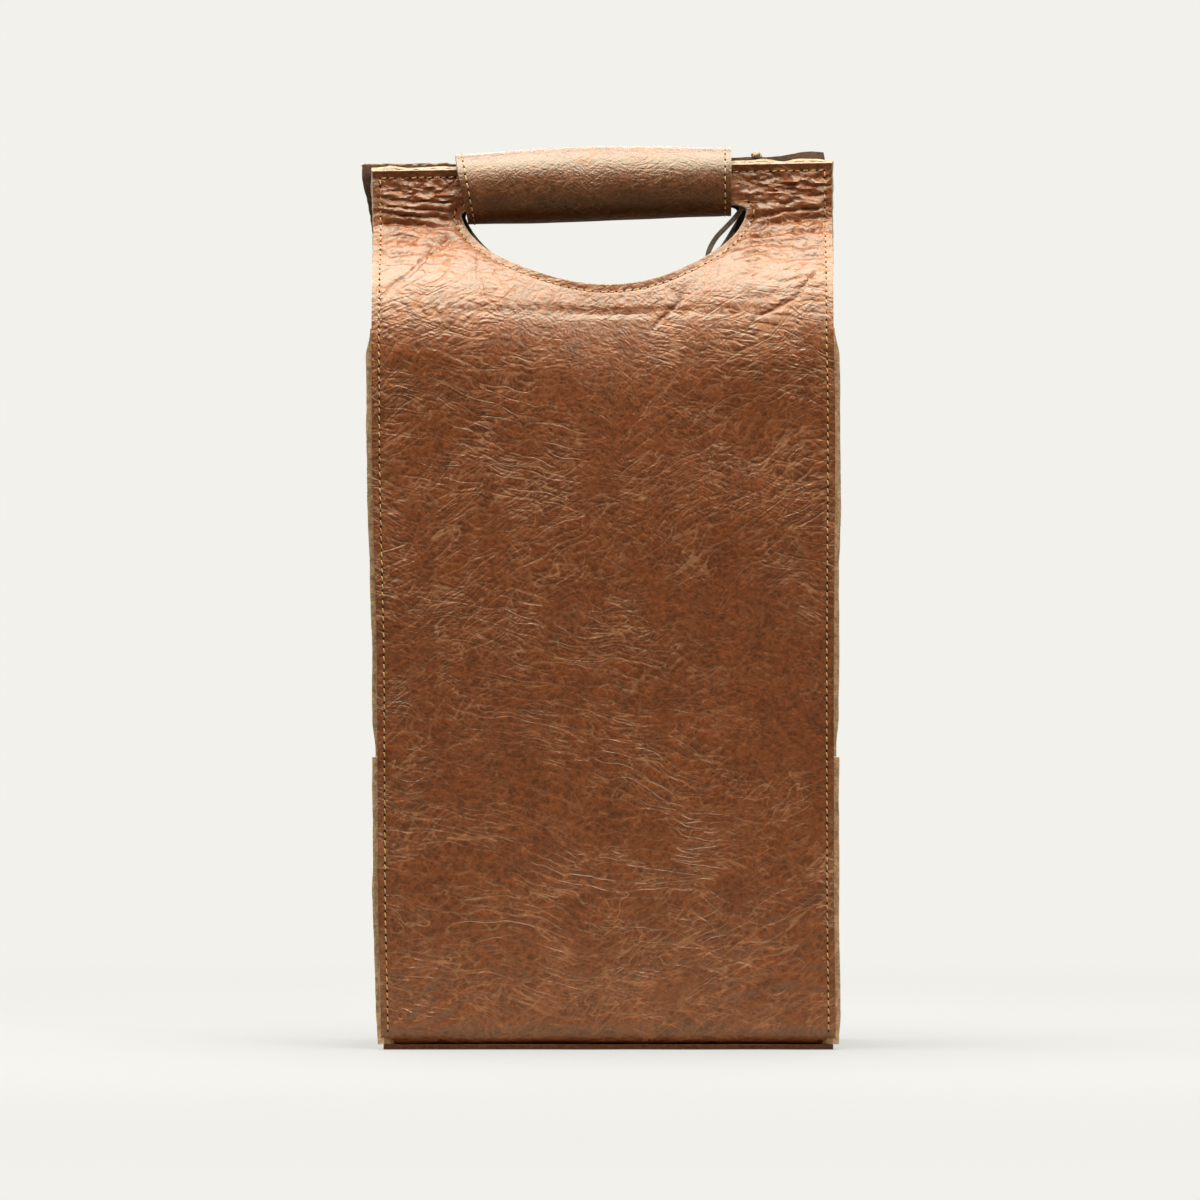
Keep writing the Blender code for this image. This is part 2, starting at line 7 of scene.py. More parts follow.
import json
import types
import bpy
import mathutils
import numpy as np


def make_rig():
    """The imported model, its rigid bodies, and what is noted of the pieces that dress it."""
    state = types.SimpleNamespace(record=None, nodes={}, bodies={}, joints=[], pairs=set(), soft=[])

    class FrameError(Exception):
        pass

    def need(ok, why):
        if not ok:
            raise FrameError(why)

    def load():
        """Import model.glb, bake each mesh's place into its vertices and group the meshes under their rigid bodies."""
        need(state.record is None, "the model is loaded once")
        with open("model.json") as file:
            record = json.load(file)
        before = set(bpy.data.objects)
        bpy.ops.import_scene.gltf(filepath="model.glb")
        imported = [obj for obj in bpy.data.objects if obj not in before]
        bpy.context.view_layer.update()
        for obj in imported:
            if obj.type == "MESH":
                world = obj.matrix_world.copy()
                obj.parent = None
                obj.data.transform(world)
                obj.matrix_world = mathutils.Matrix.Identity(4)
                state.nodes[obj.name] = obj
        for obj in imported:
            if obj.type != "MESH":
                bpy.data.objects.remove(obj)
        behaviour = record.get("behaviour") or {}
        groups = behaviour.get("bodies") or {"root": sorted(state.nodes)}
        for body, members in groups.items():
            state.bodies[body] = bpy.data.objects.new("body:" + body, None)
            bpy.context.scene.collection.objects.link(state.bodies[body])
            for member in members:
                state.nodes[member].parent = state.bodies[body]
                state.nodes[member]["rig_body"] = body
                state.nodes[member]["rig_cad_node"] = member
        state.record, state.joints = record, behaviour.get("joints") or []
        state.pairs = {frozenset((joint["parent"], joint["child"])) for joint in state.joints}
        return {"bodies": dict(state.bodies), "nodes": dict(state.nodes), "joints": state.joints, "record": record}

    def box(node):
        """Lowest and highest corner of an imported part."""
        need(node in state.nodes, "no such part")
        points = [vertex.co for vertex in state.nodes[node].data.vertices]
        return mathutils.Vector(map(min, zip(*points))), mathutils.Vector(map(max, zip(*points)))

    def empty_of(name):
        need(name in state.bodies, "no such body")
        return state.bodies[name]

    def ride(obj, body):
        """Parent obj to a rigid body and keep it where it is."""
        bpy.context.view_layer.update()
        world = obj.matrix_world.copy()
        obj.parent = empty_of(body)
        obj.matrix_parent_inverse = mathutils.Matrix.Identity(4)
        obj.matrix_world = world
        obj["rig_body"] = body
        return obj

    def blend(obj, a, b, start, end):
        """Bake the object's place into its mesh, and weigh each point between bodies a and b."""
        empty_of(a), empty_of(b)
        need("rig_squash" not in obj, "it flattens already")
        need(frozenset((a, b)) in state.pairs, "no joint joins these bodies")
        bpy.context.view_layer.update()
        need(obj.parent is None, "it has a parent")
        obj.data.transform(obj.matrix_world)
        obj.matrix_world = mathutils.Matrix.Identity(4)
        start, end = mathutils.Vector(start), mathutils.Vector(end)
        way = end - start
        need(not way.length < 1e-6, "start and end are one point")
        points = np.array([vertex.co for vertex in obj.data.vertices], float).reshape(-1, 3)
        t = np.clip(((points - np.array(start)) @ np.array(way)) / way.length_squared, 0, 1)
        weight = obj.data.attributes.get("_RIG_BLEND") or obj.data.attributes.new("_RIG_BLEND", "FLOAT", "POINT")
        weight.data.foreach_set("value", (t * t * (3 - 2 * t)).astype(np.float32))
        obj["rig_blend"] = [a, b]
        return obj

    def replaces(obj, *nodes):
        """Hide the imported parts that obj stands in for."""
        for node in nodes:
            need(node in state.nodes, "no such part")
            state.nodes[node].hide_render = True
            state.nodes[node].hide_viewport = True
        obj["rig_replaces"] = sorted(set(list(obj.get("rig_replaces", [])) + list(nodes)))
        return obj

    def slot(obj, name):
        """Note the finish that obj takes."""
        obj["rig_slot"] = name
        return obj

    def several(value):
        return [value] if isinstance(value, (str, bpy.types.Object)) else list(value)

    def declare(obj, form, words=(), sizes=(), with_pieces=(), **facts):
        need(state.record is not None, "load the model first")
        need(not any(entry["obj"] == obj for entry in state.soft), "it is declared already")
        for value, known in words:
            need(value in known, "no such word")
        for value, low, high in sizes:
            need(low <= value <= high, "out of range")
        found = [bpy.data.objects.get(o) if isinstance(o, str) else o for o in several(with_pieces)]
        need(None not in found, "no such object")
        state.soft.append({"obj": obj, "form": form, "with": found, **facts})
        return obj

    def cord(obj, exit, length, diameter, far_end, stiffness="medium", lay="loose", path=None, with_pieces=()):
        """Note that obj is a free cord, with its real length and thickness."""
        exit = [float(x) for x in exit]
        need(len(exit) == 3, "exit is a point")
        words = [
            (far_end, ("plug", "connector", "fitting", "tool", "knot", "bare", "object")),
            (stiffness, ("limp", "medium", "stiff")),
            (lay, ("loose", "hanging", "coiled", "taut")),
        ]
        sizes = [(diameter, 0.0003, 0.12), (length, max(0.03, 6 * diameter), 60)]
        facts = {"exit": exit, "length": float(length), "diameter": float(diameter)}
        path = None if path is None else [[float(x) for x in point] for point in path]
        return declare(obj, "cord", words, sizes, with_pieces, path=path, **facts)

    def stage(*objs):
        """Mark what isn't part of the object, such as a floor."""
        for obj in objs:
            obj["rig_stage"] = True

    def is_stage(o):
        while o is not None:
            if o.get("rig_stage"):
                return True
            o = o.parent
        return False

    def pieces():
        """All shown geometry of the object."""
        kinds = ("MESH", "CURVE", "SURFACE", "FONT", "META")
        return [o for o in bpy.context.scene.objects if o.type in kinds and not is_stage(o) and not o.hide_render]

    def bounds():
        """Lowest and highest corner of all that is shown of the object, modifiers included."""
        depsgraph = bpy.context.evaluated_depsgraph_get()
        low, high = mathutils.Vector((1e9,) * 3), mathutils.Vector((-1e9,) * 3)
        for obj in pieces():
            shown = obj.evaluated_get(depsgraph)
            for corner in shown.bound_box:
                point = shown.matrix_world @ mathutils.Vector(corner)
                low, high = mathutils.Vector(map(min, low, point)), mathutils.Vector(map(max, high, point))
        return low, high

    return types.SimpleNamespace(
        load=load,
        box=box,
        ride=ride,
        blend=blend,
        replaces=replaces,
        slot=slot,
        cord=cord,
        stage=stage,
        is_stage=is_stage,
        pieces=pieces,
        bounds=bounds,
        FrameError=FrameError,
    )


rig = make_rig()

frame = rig.load()
CAD_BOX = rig.bounds()

import json
import math

import bmesh
import bpy
from bpy.props import FloatProperty, FloatVectorProperty, PointerProperty
from bpy.types import Operator, Panel, PropertyGroup
from mathutils import Matrix, Vector, kdtree, noise

bl_info = {
    "name": "Leather bottle case",
    "version": (1, 0, 0),
    "blender": (4, 5, 0),
    "location": "View3D > Sidebar > Case",
    "description": "Builds the leathers, stitching, lace and studio of a two-bottle carrying case",
    "category": "Object",
}

MM = 0.001
LAYER = 1.8 * MM
LAYER_GAP = 0.3 * MM

# The frame's own sizes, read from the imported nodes
HALF_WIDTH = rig.box("front_panel_lower")[1].x
HALF_DEPTH = -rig.box("front_panel_lower")[0].y
FOOT_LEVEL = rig.box("front_panel_lower")[0].z
STRIP_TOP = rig.box("front_panel_upper")[1].z
STRIP_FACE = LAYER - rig.box("front_panel_upper")[1].y
BACK_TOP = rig.box("back_panel_upper")[1].z
GUSSET_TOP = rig.box("right_gusset")[1].z
CRADLE_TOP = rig.box("cradle")[1].z
FLANGE_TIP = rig.box("right_gusset")[1].x
WRAP_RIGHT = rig.box("wrap_flap")[1].x
WRAP_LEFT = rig.box("wrap_flap")[0].x
WRAP_RADIUS = -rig.box("wrap_flap")[0].y
WRAP_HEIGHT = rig.box("wrap_flap")[1].z - WRAP_RADIUS

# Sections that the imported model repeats
BEND_HEIGHT = 300 * MM
BEND_RADIUS = 14 * MM
STRIP_FOOT = 345.6 * MM
STRIP_RADIUS = 10 * MM
FOOT_ROLL = 8 * MM
FOOT_TURN = 6 * MM
GUSSET_LAYER = 1.9 * MM
GUSSET_WALL = 89.05 * MM
FLANGE_TURN = 2.5 * MM
FLANGE_Y = 42.95 * MM
LAP = 8 * MM
NAP_WIDTH = 3.4 * MM

# The worn shoulder: half the height that bends with the joint, its side radius and what the middle adds
BEND_REACH = 8 * MM
SOFT_BEND_RADIUS = 50 * MM
SOFT_BEND_GAIN = 36 * MM

# The hand hole: half its width, its roof, its depth, its rounded corners and the points of its outline
HOLE_HALF = 59.9 * MM
HOLE_ROOF = 348.0 * MM
HOLE_DROP = 31.6 * MM
HOLE_CORNER = 4 * MM
HOLE_POINTS = 900
HOLE_EDGE_RADIUS = 0.55 * MM

# The back panel's top, which stands to the left of the front's and a little over it
BACK_HOLE_INSET = 2.3 * MM
BACK_SHIFT = -3.6 * MM
BACK_CORNER_RISE = 1.5 * MM
BACK_CORNER_END = -59.5 * MM
BACK_CORNER_DEPTH = 3.4 * MM
BACK_CORNER_RADIUS = 0.6 * MM

# The handle wrap: 0 degrees is its back, 90 its crown, 180 its front and 270 its underside
WRAP_SLANT = 5.2 * MM
HINGE_SPAN_DEG = 40.0
FLAP_END_DEG = 283.0
UNDERLAP_END_DEG = -115.0
UNDERLAP_STEP_DEG = (-50.0, -72.0)
WRAP_SEAM_DEG = (-45.0, FLAP_END_DEG - 4)
WRAP_SEAM_MARGIN = 2.6 * MM
CROWN_RISE = 1.8 * MM
CROWN_BULGE = 1.6 * MM
UNDERSIDE_RISE = 2.4 * MM
UNDERSIDE_SLOPE = 1 / 44

# Half a snap's section: (share of its radius, height in millimetres)
SNAP_SECTION = ((0.0, 0.10), (0.5, 0.10), (0.62, 0.16), (0.80, 0.18), (0.93, 0.12), (1.0, 0.0), (1.0, -0.5))

# How the real case has settled: height, shift of its middle, shift of its edges, widening of each half
SETTLING = (
    (0.0, 0.0, 0.0, -0.8),
    (70.0, -0.5, -1.0, -0.5),
    (143.0, -0.8, -1.2, -0.4),
    (258.0, -1.2, -2.0, 1.0),
    (300.0, -1.4, -2.4, 0.8),
    (332.0, -1.4, -2.3, 1.0),
    (380.0, -1.4, -2.6, 1.3),
)
TOP_TILT = 1.75 * MM

# Pressed creases of the front: start and end as (x, z), width and depth, all in millimetres
CREASES = (
    ((-63, 335), (-90, 311), 0.9, 1.0),
    ((-52, 330), (-49, 303), 0.8, 0.6),
    ((33, 316), (19, 295), 0.9, 0.9),
    ((90, 320), (62, 300), 0.9, 0.9),
    ((30, 280), (-8, 236), 1.2, 0.35),
)

# The lace in millimetres: from the knot down the back strip's front, through the hand hole and up behind
LACE_ROUTE = (
    (63.2, 0.0, 365.8), (62.4, 0.0, 360.2), (60.9, 0.0, 354.0), (58.3, 0.0, 348.2), (54.6, 0.0, 343.0),
    (50.4, 0.0, 338.6), (46.5, 0.1, 334.6), (43.7, 0.2, 330.0), (42.9, 1.2, 326.6), (43.9, 3.3, 325.0),
    (46.4, 5.6, 327.2), (50.0, 6.4, 332.0), (54.0, 6.5, 338.4), (57.8, 6.6, 344.8), (60.7, 6.6, 350.8),
    (62.3, 6.6, 357.0), (63.2, 6.6, 361.6), (63.6, 6.6, 365.8),
)

# The dark bead painted at each needle hole as the hole's shade: its length, width and depth
NEEDLE_HOLE = (1.15 * MM, 1.0 * MM, 0.30 * MM)

# The camera: its distance from the front, the width it frames there, its sensor in millimetres, its x and z
CAMERA_DISTANCE = 3.5
CAMERA_FRAME = 0.492
CAMERA_SENSOR = 36.0
CAMERA_X = -3.44 * MM
CAMERA_Z = 184.5 * MM

# The lamps: name, place, target, width and height in metres, watts
LAMPS = (
    ("overhead_box", (-0.09, -0.06, 1.35), (0, -0.06, 0.2), 1.35, 1.3, 42.5),
    ("front_fill", (0.15, -1.6, 2.3), (0, 0, 0.2), 1.2, 1.0, 3.5),
    ("key", (0.75, -0.95, 1.15), (0, 0, 0.28), 0.35, 0.35, 5.5),
    ("left_side", (-1.4, -0.11, 0.45), (0, 0, 0.2), 0.7, 1.1, 8.5),
    ("right_side", (1.4, -0.13, 0.45), (0, 0, 0.2), 0.7, 1.1, 7.0),
    ("rear_rim", (0.0, 1.7, 1.3), (0, 0, 0.36), 1.5, 0.6, 16.0),
)


def length_property(name, description, default, least=0.0):
    return FloatProperty(name=name, description=description, default=default, min=least, unit="LENGTH")


def colour_property(name, description, default):
    return FloatVectorProperty(
        name=name, description=description, default=default, size=3, min=0.0, max=1.0, subtype="COLOR")


class CaseSizes(PropertyGroup):
    """Sizes of the finish that can be changed without changing the case."""

    cell: length_property(
        "Leather cell", "Side of the squares that each leather is cut into", 1.5 * MM, 0.8 * MM)
    rim_curl: length_property(
        "Rim curl", "How far the raw edge of a panel stands out past its stitches", 1.0 * MM)
    curl_width: length_property("Curl width", "Width of the band that curls at a raw edge", 3.4 * MM)
    fold_depth: length_property("Fold depth", "Depth of the crumpled folds on the shoulders", 2.0 * MM)
    seam_margin: length_property("Seam margin", "Distance from a leather's edge to its stitches", 2.9 * MM)
    rim_margin: length_property("Rim margin", "Distance from the hand hole's rim to its stitches", 2.4 * MM)
    stitch_pitch: length_property(
        "Stitch pitch", "Distance from one needle hole to the next", 3.3 * MM, 1.0 * MM)
    stitch_length: length_property(
        "Stitch length", "Length of thread that shows between two needle holes", 2.5 * MM)
    thread: length_property("Thread", "Diameter of the sewing thread", 0.62 * MM)
    lace: length_property("Lace", "Diameter of the leather lace", 2.1 * MM)


class CaseColours(PropertyGroup):
    """Colours of the leathers, the thread and the studio."""

    leather: colour_property("Leather", "Ground colour of the panels", (0.220, 0.054, 0.012))
    crease: colour_property("Crease", "Colour that the panels pull up to in creases", (0.50, 0.200, 0.065))
    wrap: colour_property("Wrap", "Ground colour of the handle wrap", (0.140, 0.044, 0.013))
    suede: colour_property("Suede", "Flesh side of the leathers", (0.300, 0.170, 0.080))
    raw_edge: colour_property("Raw edge", "Cut edges of the leathers", (0.380, 0.285, 0.175))
    nap: colour_property("Nap", "Rough edges of the side leathers", (0.560, 0.360, 0.190))
    thread: colour_property("Thread", "Sewing thread", (0.700, 0.430, 0.150))
    lace: colour_property("Lace", "Leather lace", (0.340, 0.260, 0.190))
    # Painted shade: the facings' inner faces take this near-black colour to stand for the shade in the slot between
    # the strips and behind the hand hole's rim.
    painted_shade_lining: colour_property("Lining", "Dark inner side of the facings", (0.080, 0.040, 0.020))
    # Painted shade: the base leather's cut edge at the foot gets this dark colour for the shade under the case, in
    # place of a cut edge's tan.
    burnished: colour_property("Burnished edge", "Dyed edge of the base leather", (0.095, 0.038, 0.016))
    board: colour_property("Board", "Fibre board in the base", (0.240, 0.200, 0.150))
    # Painted shade: the near-black of the needle holes stands for the shade inside them.
    needle_hole: colour_property("Needle hole", "Dark inside of the needle holes", (0.030, 0.014, 0.008))
    steel: colour_property("Steel", "Plated snaps", (0.560, 0.570, 0.580))
    backdrop: colour_property("Backdrop", "Floor and backdrop as the camera sees them", (0.888, 0.880, 0.839))


def smooth(low, high, value):
    share = min(1.0, max(0.0, (value - low) / (high - low)))
    return share * share * (3 - 2 * share)


def hump(value, middle, width):
    return math.exp(-((value - middle) / width) ** 2)


def billow(x, z, along, across, seed):
    """Rounded swellings with sharp creases between them, longer along x than up z."""
    drift = noise.noise(Vector((x / along * 0.7, z / across * 0.35, seed + 17.3)))
    first = abs(noise.noise(Vector((x / along + drift, z / across + 1.4 * drift, seed))))
    second = abs(noise.noise(Vector((x / along * 2.1, z / across * 1.9 - drift, seed + 5.1))))
    return 1.5 * first + 0.5 * second


def pleats(x, z, pitch, tilt, wander, seed):
    """Rounded folds one above the other, a pitch apart, that wander and run into one another."""
    drift = wander * noise.noise(Vector((x / 19, z / 13, seed)))
    drift += 0.35 * wander * noise.noise(Vector((x / 6, z / 5, seed + 2.2)))
    swell = 0.75 + 0.6 * noise.noise(Vector((x / 14, z / 6, seed + 9.1)))
    return swell * abs(math.sin(math.pi * ((z - tilt * x) / pitch + drift))) ** 0.75


def crease(x, z, start, end, width, depth):
    """A pressed line from start to end, everything in millimetres on the front."""
    a, b, p = Vector(start), Vector(end), Vector((x, z))
    along = (p - a).dot(b - a) / (b - a).length_squared
    if not -0.2 < along < 1.2:
        return 0.0
    wander = 1.3 * noise.noise(Vector((x / 9, z / 9, start[0])))
    side = (b - a).normalized()
    off = abs(side.x * (p - a).y - side.y * (p - a).x + wander)
    taper = smooth(-0.1, 0.2, along) * (1 - smooth(0.8, 1.1, along))
    return -depth * taper * hump(off, 0.0, width)


def settle(point):
    """The place on the real, slightly pulled case of a point of the straight model."""
    height = point.z / MM
    above = sum(1 for row in SETTLING if row[0] <= height)
    above = min(len(SETTLING) - 1, max(1, above))
    low, high = SETTLING[above - 1], SETTLING[above]
    share = smooth(low[0], high[0], height)
    middle, edge, widen = (a + (b - a) * share for a, b in zip(low[1:], high[1:]))
    out = point.x / HALF_WIDTH
    shift = middle + (edge - middle) * min(1.0, out * out) + widen * out * out * out
    tilt = TOP_TILT * out * smooth(280.0, 360.0, height)
    return Vector((point.x + shift * MM, point.y, point.z + tilt))


def sample(first, last, steps):
    return [first + (last - first) * i / steps for i in range(steps + 1)]


def halve(low, high, below):
    """The value between low and high up to which below holds."""
    for _ in range(40):
        middle = (low + high) / 2
        if below(middle):
            low = middle
        else:
            high = middle
    return low


def arc(centre, radius, start_deg, end_deg):
    steps = max(3, math.ceil(abs(math.radians(end_deg - start_deg)) * radius / (0.4 * MM)))
    angles = (math.radians(start_deg + (end_deg - start_deg) * i / steps) for i in range(steps + 1))
    return [Vector((centre[0] + radius * math.cos(a), centre[1] + radius * math.sin(a))) for a in angles]


class Section:
    """A line in section, read by the length along it: its points and the direction to its left."""

    def __init__(self, corners):
        self.points = [corners[0]]
        for corner in corners[1:]:
            start = self.points[-1]
            steps = max(1, math.ceil((corner - start).length / MM))
            self.points += [start.lerp(corner, i / steps) for i in range(1, steps + 1)]
        self.lengths = [0.0]
        for a, b in zip(self.points, self.points[1:]):
            self.lengths.append(self.lengths[-1] + (b - a).length)
        self.total = self.lengths[-1]

    def at(self, length):
        low, high = 0, len(self.lengths) - 1
        while high - low > 1:
            middle = (low + high) // 2
            if self.lengths[middle] <= length:
                low = middle
            else:
                high = middle
        share = (length - self.lengths[low]) / (self.lengths[high] - self.lengths[low])
        return self.points[low].lerp(self.points[high], share)

    def left(self, length):
        reach = 0.8 * MM
        along = self.at(min(self.total, length + reach)) - self.at(max(0.0, length - reach))
        return Vector((-along.y, along.x)).normalized()

    def length_at_height(self, height):
        """The length where the line, past its turned foot, reaches the height."""
        return halve(FOOT_TURN + FOOT_ROLL, self.total, lambda length: self.at(length).y < height)


def panel_section(top):
    """The outer face of a panel: turned edge, rolled foot, wall, shoulder bend, lean and handle strip."""
    radii = BEND_RADIUS + STRIP_RADIUS
    across = radii - (HALF_DEPTH - STRIP_FACE)
    up = STRIP_FOOT - BEND_HEIGHT
    lean = math.degrees(math.atan2(up, across) - math.acos(radii / math.hypot(across, up)))
    roll_top = FOOT_LEVEL + FOOT_ROLL
    corners = [Vector((-HALF_DEPTH + FOOT_ROLL + FOOT_TURN, FOOT_LEVEL))]
    corners += arc((-HALF_DEPTH + FOOT_ROLL, roll_top), FOOT_ROLL, 270, 180)
    corners += arc((-HALF_DEPTH + BEND_RADIUS, BEND_HEIGHT), BEND_RADIUS, 180, 180 - lean)
    corners += arc((-STRIP_FACE - STRIP_RADIUS, STRIP_FOOT), STRIP_RADIUS, -lean, 0)
    corners += [Vector((-STRIP_FACE, top))]
    return Section(corners)


def hole_depth(x, z, half):
    """Below 0 inside the half-moon hand hole, by about the distance to its rim."""
    bowl = (math.hypot(x / half, (z - HOLE_ROOF) / HOLE_DROP) - 1) * HOLE_DROP
    roof = z - HOLE_ROOF
    near = max(0.0, HOLE_CORNER - abs(bowl - roof)) / HOLE_CORNER
    return max(bowl, roof) + near * near * HOLE_CORNER / 4


class Hide:
    """A panel's leather, addressed by the distance across it and the length along its section."""

    def __init__(self, side, sizes):
        self.side = side
        self.sizes = sizes
        self.section = panel_section(STRIP_TOP if side < 0 else BACK_TOP)
        self.total = self.section.total
        self.seed = 3.7 if side < 0 else 41.9
        self.hole_half = HOLE_HALF if side < 0 else HOLE_HALF - BACK_HOLE_INSET
        # The turn from the wall to the lean, each read at a length that lies well inside it
        turn = self.section.left(200 * MM).angle(self.section.left(self.total - 36 * MM))
        self.bend = self.section.length_at_height(BEND_HEIGHT) + BEND_RADIUS * turn / 2
        self.bend_reach = math.tan(turn / 2)
        self.outline = self.trace_hole()
        self.tree = kdtree.KDTree(len(self.outline))
        for i, point in enumerate(self.outline):
            self.tree.insert((*point, 0.0), i)
        self.tree.balance()
        self.hole_low = min(p.y for p in self.outline)
        self.hole_high = max(p.y for p in self.outline)

    def trace_hole(self):
        """The rim, clockwise from the right end, on the flat leather."""
        centre = Vector((0.0, HOLE_ROOF - 0.3 * HOLE_DROP))
        rim = []
        for i in range(HOLE_POINTS):
            angle = -2 * math.pi * i / HOLE_POINTS
            ray = Vector((math.cos(angle), math.sin(angle)))
            reach = halve(0.0, 2 * HOLE_HALF, lambda r: hole_depth(*(centre + ray * r), self.hole_half) < 0)
            spot = centre + ray * reach
            rim.append(Vector((spot.x, self.section.length_at_height(spot.y))))
        return rim

    def in_hole(self, x, length):
        if not self.hole_low < length < self.hole_high or abs(x) > HOLE_HALF:
            return False
        return hole_depth(x, self.section.at(length).y, self.hole_half) < 0

    def rim_distance(self, x, length):
        return self.tree.find((x, length, 0.0))[2]

    def soft_bend(self, x, length):
        """How far the worn shoulder has sunk inside the straight model's tight bend."""
        away = abs(length - self.bend)
        radius = SOFT_BEND_RADIUS + SOFT_BEND_GAIN * hump(x, 12 * MM, 45 * MM)
        soft = max(0.0, radius * self.bend_reach - away)
        tight = max(0.0, BEND_RADIUS * self.bend_reach - away)
        return soft * soft / (2 * radius) - tight * tight / (2 * BEND_RADIUS)

    def folds(self, x, z):
        """Broad swelling, crumpled shoulders and the creases of wear, outwards; all in millimetres."""
        if self.side > 0:
            x = -x
        seed, deep = self.seed, self.sizes.fold_depth / MM
        left = smooth(-56, -68, x) * smooth(316, 326, z)
        right = smooth(50, 60, x) * smooth(304, 318, z)
        shoulders = max(left, right)
        amount = self.swelling(x, z) + shoulders * deep * self.shoulder_folds(x, z)
        # Fine crinkles on the slope under the strip
        slope = smooth(296, 304, z) * (1 - smooth(334, 346, z)) * (1 - 0.6 * shoulders)
        amount += 0.20 * deep * slope * (billow(z, x, 16, 6.0, seed + 3) - 0.3)
        amount += 0.12 * deep * slope * (pleats(z, x, 5.2, 0.15, 1.2, seed + 6) - 0.5)
        # Level folds at the lower right and a fan of creases out of the lower left corner
        right_low = smooth(10, 60, x) * smooth(8, 16, z) * (1 - smooth(46, 64, z))
        amount += 0.40 * deep * right_low * (billow(x, z - 0.12 * x, 34, 7.5, seed + 8) - 0.3)
        reach, turn = math.hypot(x + 96, z - 2), math.atan2(z - 2, x + 96)
        fan = (1 - smooth(22, 58, reach)) * smooth(4, 12, reach)
        ribs = abs(noise.noise(Vector((turn * 5.5, reach / 30, seed + 11))))
        amount += 0.6 * deep * fan * (1.7 * ribs - 0.3)
        # Slanting ripples all over
        grain = 0.12 * deep * billow(x + 0.6 * z, z - 0.5 * x, 16, 6, seed + 21)
        amount += grain * (0.4 + 0.6 * noise.noise(Vector((x / 45, z / 45, seed + 30))))
        return amount + sum(crease(x, z, *line) for line in CREASES)

    def swelling(self, x, z):
        """The wall's unevenness, the hollows under the shoulder and the roll under the top edge."""
        amount = 0.8 * noise.noise(Vector((x / 70, z / 80, self.seed)))
        amount -= 1.2 * hump(x, 12, 52) * smooth(236, 286, z) * (1 - smooth(300, 330, z))
        amount -= 1.7 * hump(x, 60, 24) * hump(z, 252, 20)
        amount -= 1.2 * hump(x, -72, 20) * hump(z, 250, 30)
        return amount + 1.3 * hump(z, 347, 8) - 0.9 * smooth(349, 363, z)

    def shoulder_folds(self, x, z):
        """Rows of folds with cobbles on them, stronger on the upright strip and flatter at its top."""
        upright, high = smooth(321, 336, z), smooth(350, 358, z)
        rows = pleats(x, z, 4.6, -0.10 if x < 0 else 0.05, 0.9, self.seed)
        cobbles = (0.45 + 0.35 * high) * billow(x, z, 8 - 2 * high, 5 - 1.5 * high, self.seed)
        return (0.4 + 0.6 * upright) * ((0.95 - 0.5 * high) * rows + cobbles - 0.7 + 0.2 * high)

    def relief(self, x, length):
        """How far the leather stands out from its section here."""
        z = self.section.at(length).y
        side = HALF_WIDTH - abs(x)
        top = self.total - length
        rim = self.rim_distance(x, length) if length > self.hole_low - 10 * MM else 1.0
        edge = min(side, top, rim)
        amount = self.folds(x / MM, z / MM) * MM
        amount *= (0.35 + 0.65 * smooth(0.0, 6 * MM, edge)) * smooth(0.0, 18 * MM, length)
        amount -= self.soft_bend(x, length)
        # The top edge and the rim curl out past a groove that their stitches draw in
        sizes = self.sizes
        for distance, margin, share in ((top, sizes.seam_margin, 1.0), (rim, sizes.rim_margin, 0.5)):
            curl = max(0.0, 1 - distance / sizes.curl_width)
            amount += share * sizes.rim_curl * curl * curl
            amount -= 0.35 * MM * hump(distance, margin, 0.8 * MM)
        # The sides curl out beside the strip, and their seams dip at every stitch
        lift = max(0.0, 1 - side / sizes.curl_width)
        amount += 0.7 * sizes.rim_curl * lift * lift * smooth(318 * MM, 345 * MM, z)
        pucker = 0.7 + 0.3 * math.cos(2 * math.pi * length / sizes.stitch_pitch)
        amount -= 0.4 * MM * pucker * hump(side, sizes.seam_margin, 0.9 * MM)
        return amount

    def point(self, x, length):
        """The place on the finished case of a point of the flat leather."""
        place, out = self.section.at(length), self.section.left(length)
        amount = self.relief(x, length)
        y, z = place.x + out.x * amount, place.y + out.y * amount
        shift = raised = 0.0
        if self.side > 0:
            shift = BACK_SHIFT * smooth(333, 368, z / MM)
            raised = BACK_CORNER_RISE * smooth(62, 90, x / MM) * smooth(325, 362, z / MM)
        return settle(Vector((x + shift, -self.side * y, z + raised)))

    def seat(self, x, length):
        """(point, outward direction) on the folded leather."""
        step = 0.4 * MM
        across = self.point(x + step, length) - self.point(x - step, length)
        up = self.point(x, length + step) - self.point(x, length - step)
        return self.point(x, length), (across.cross(up) * -self.side).normalized()


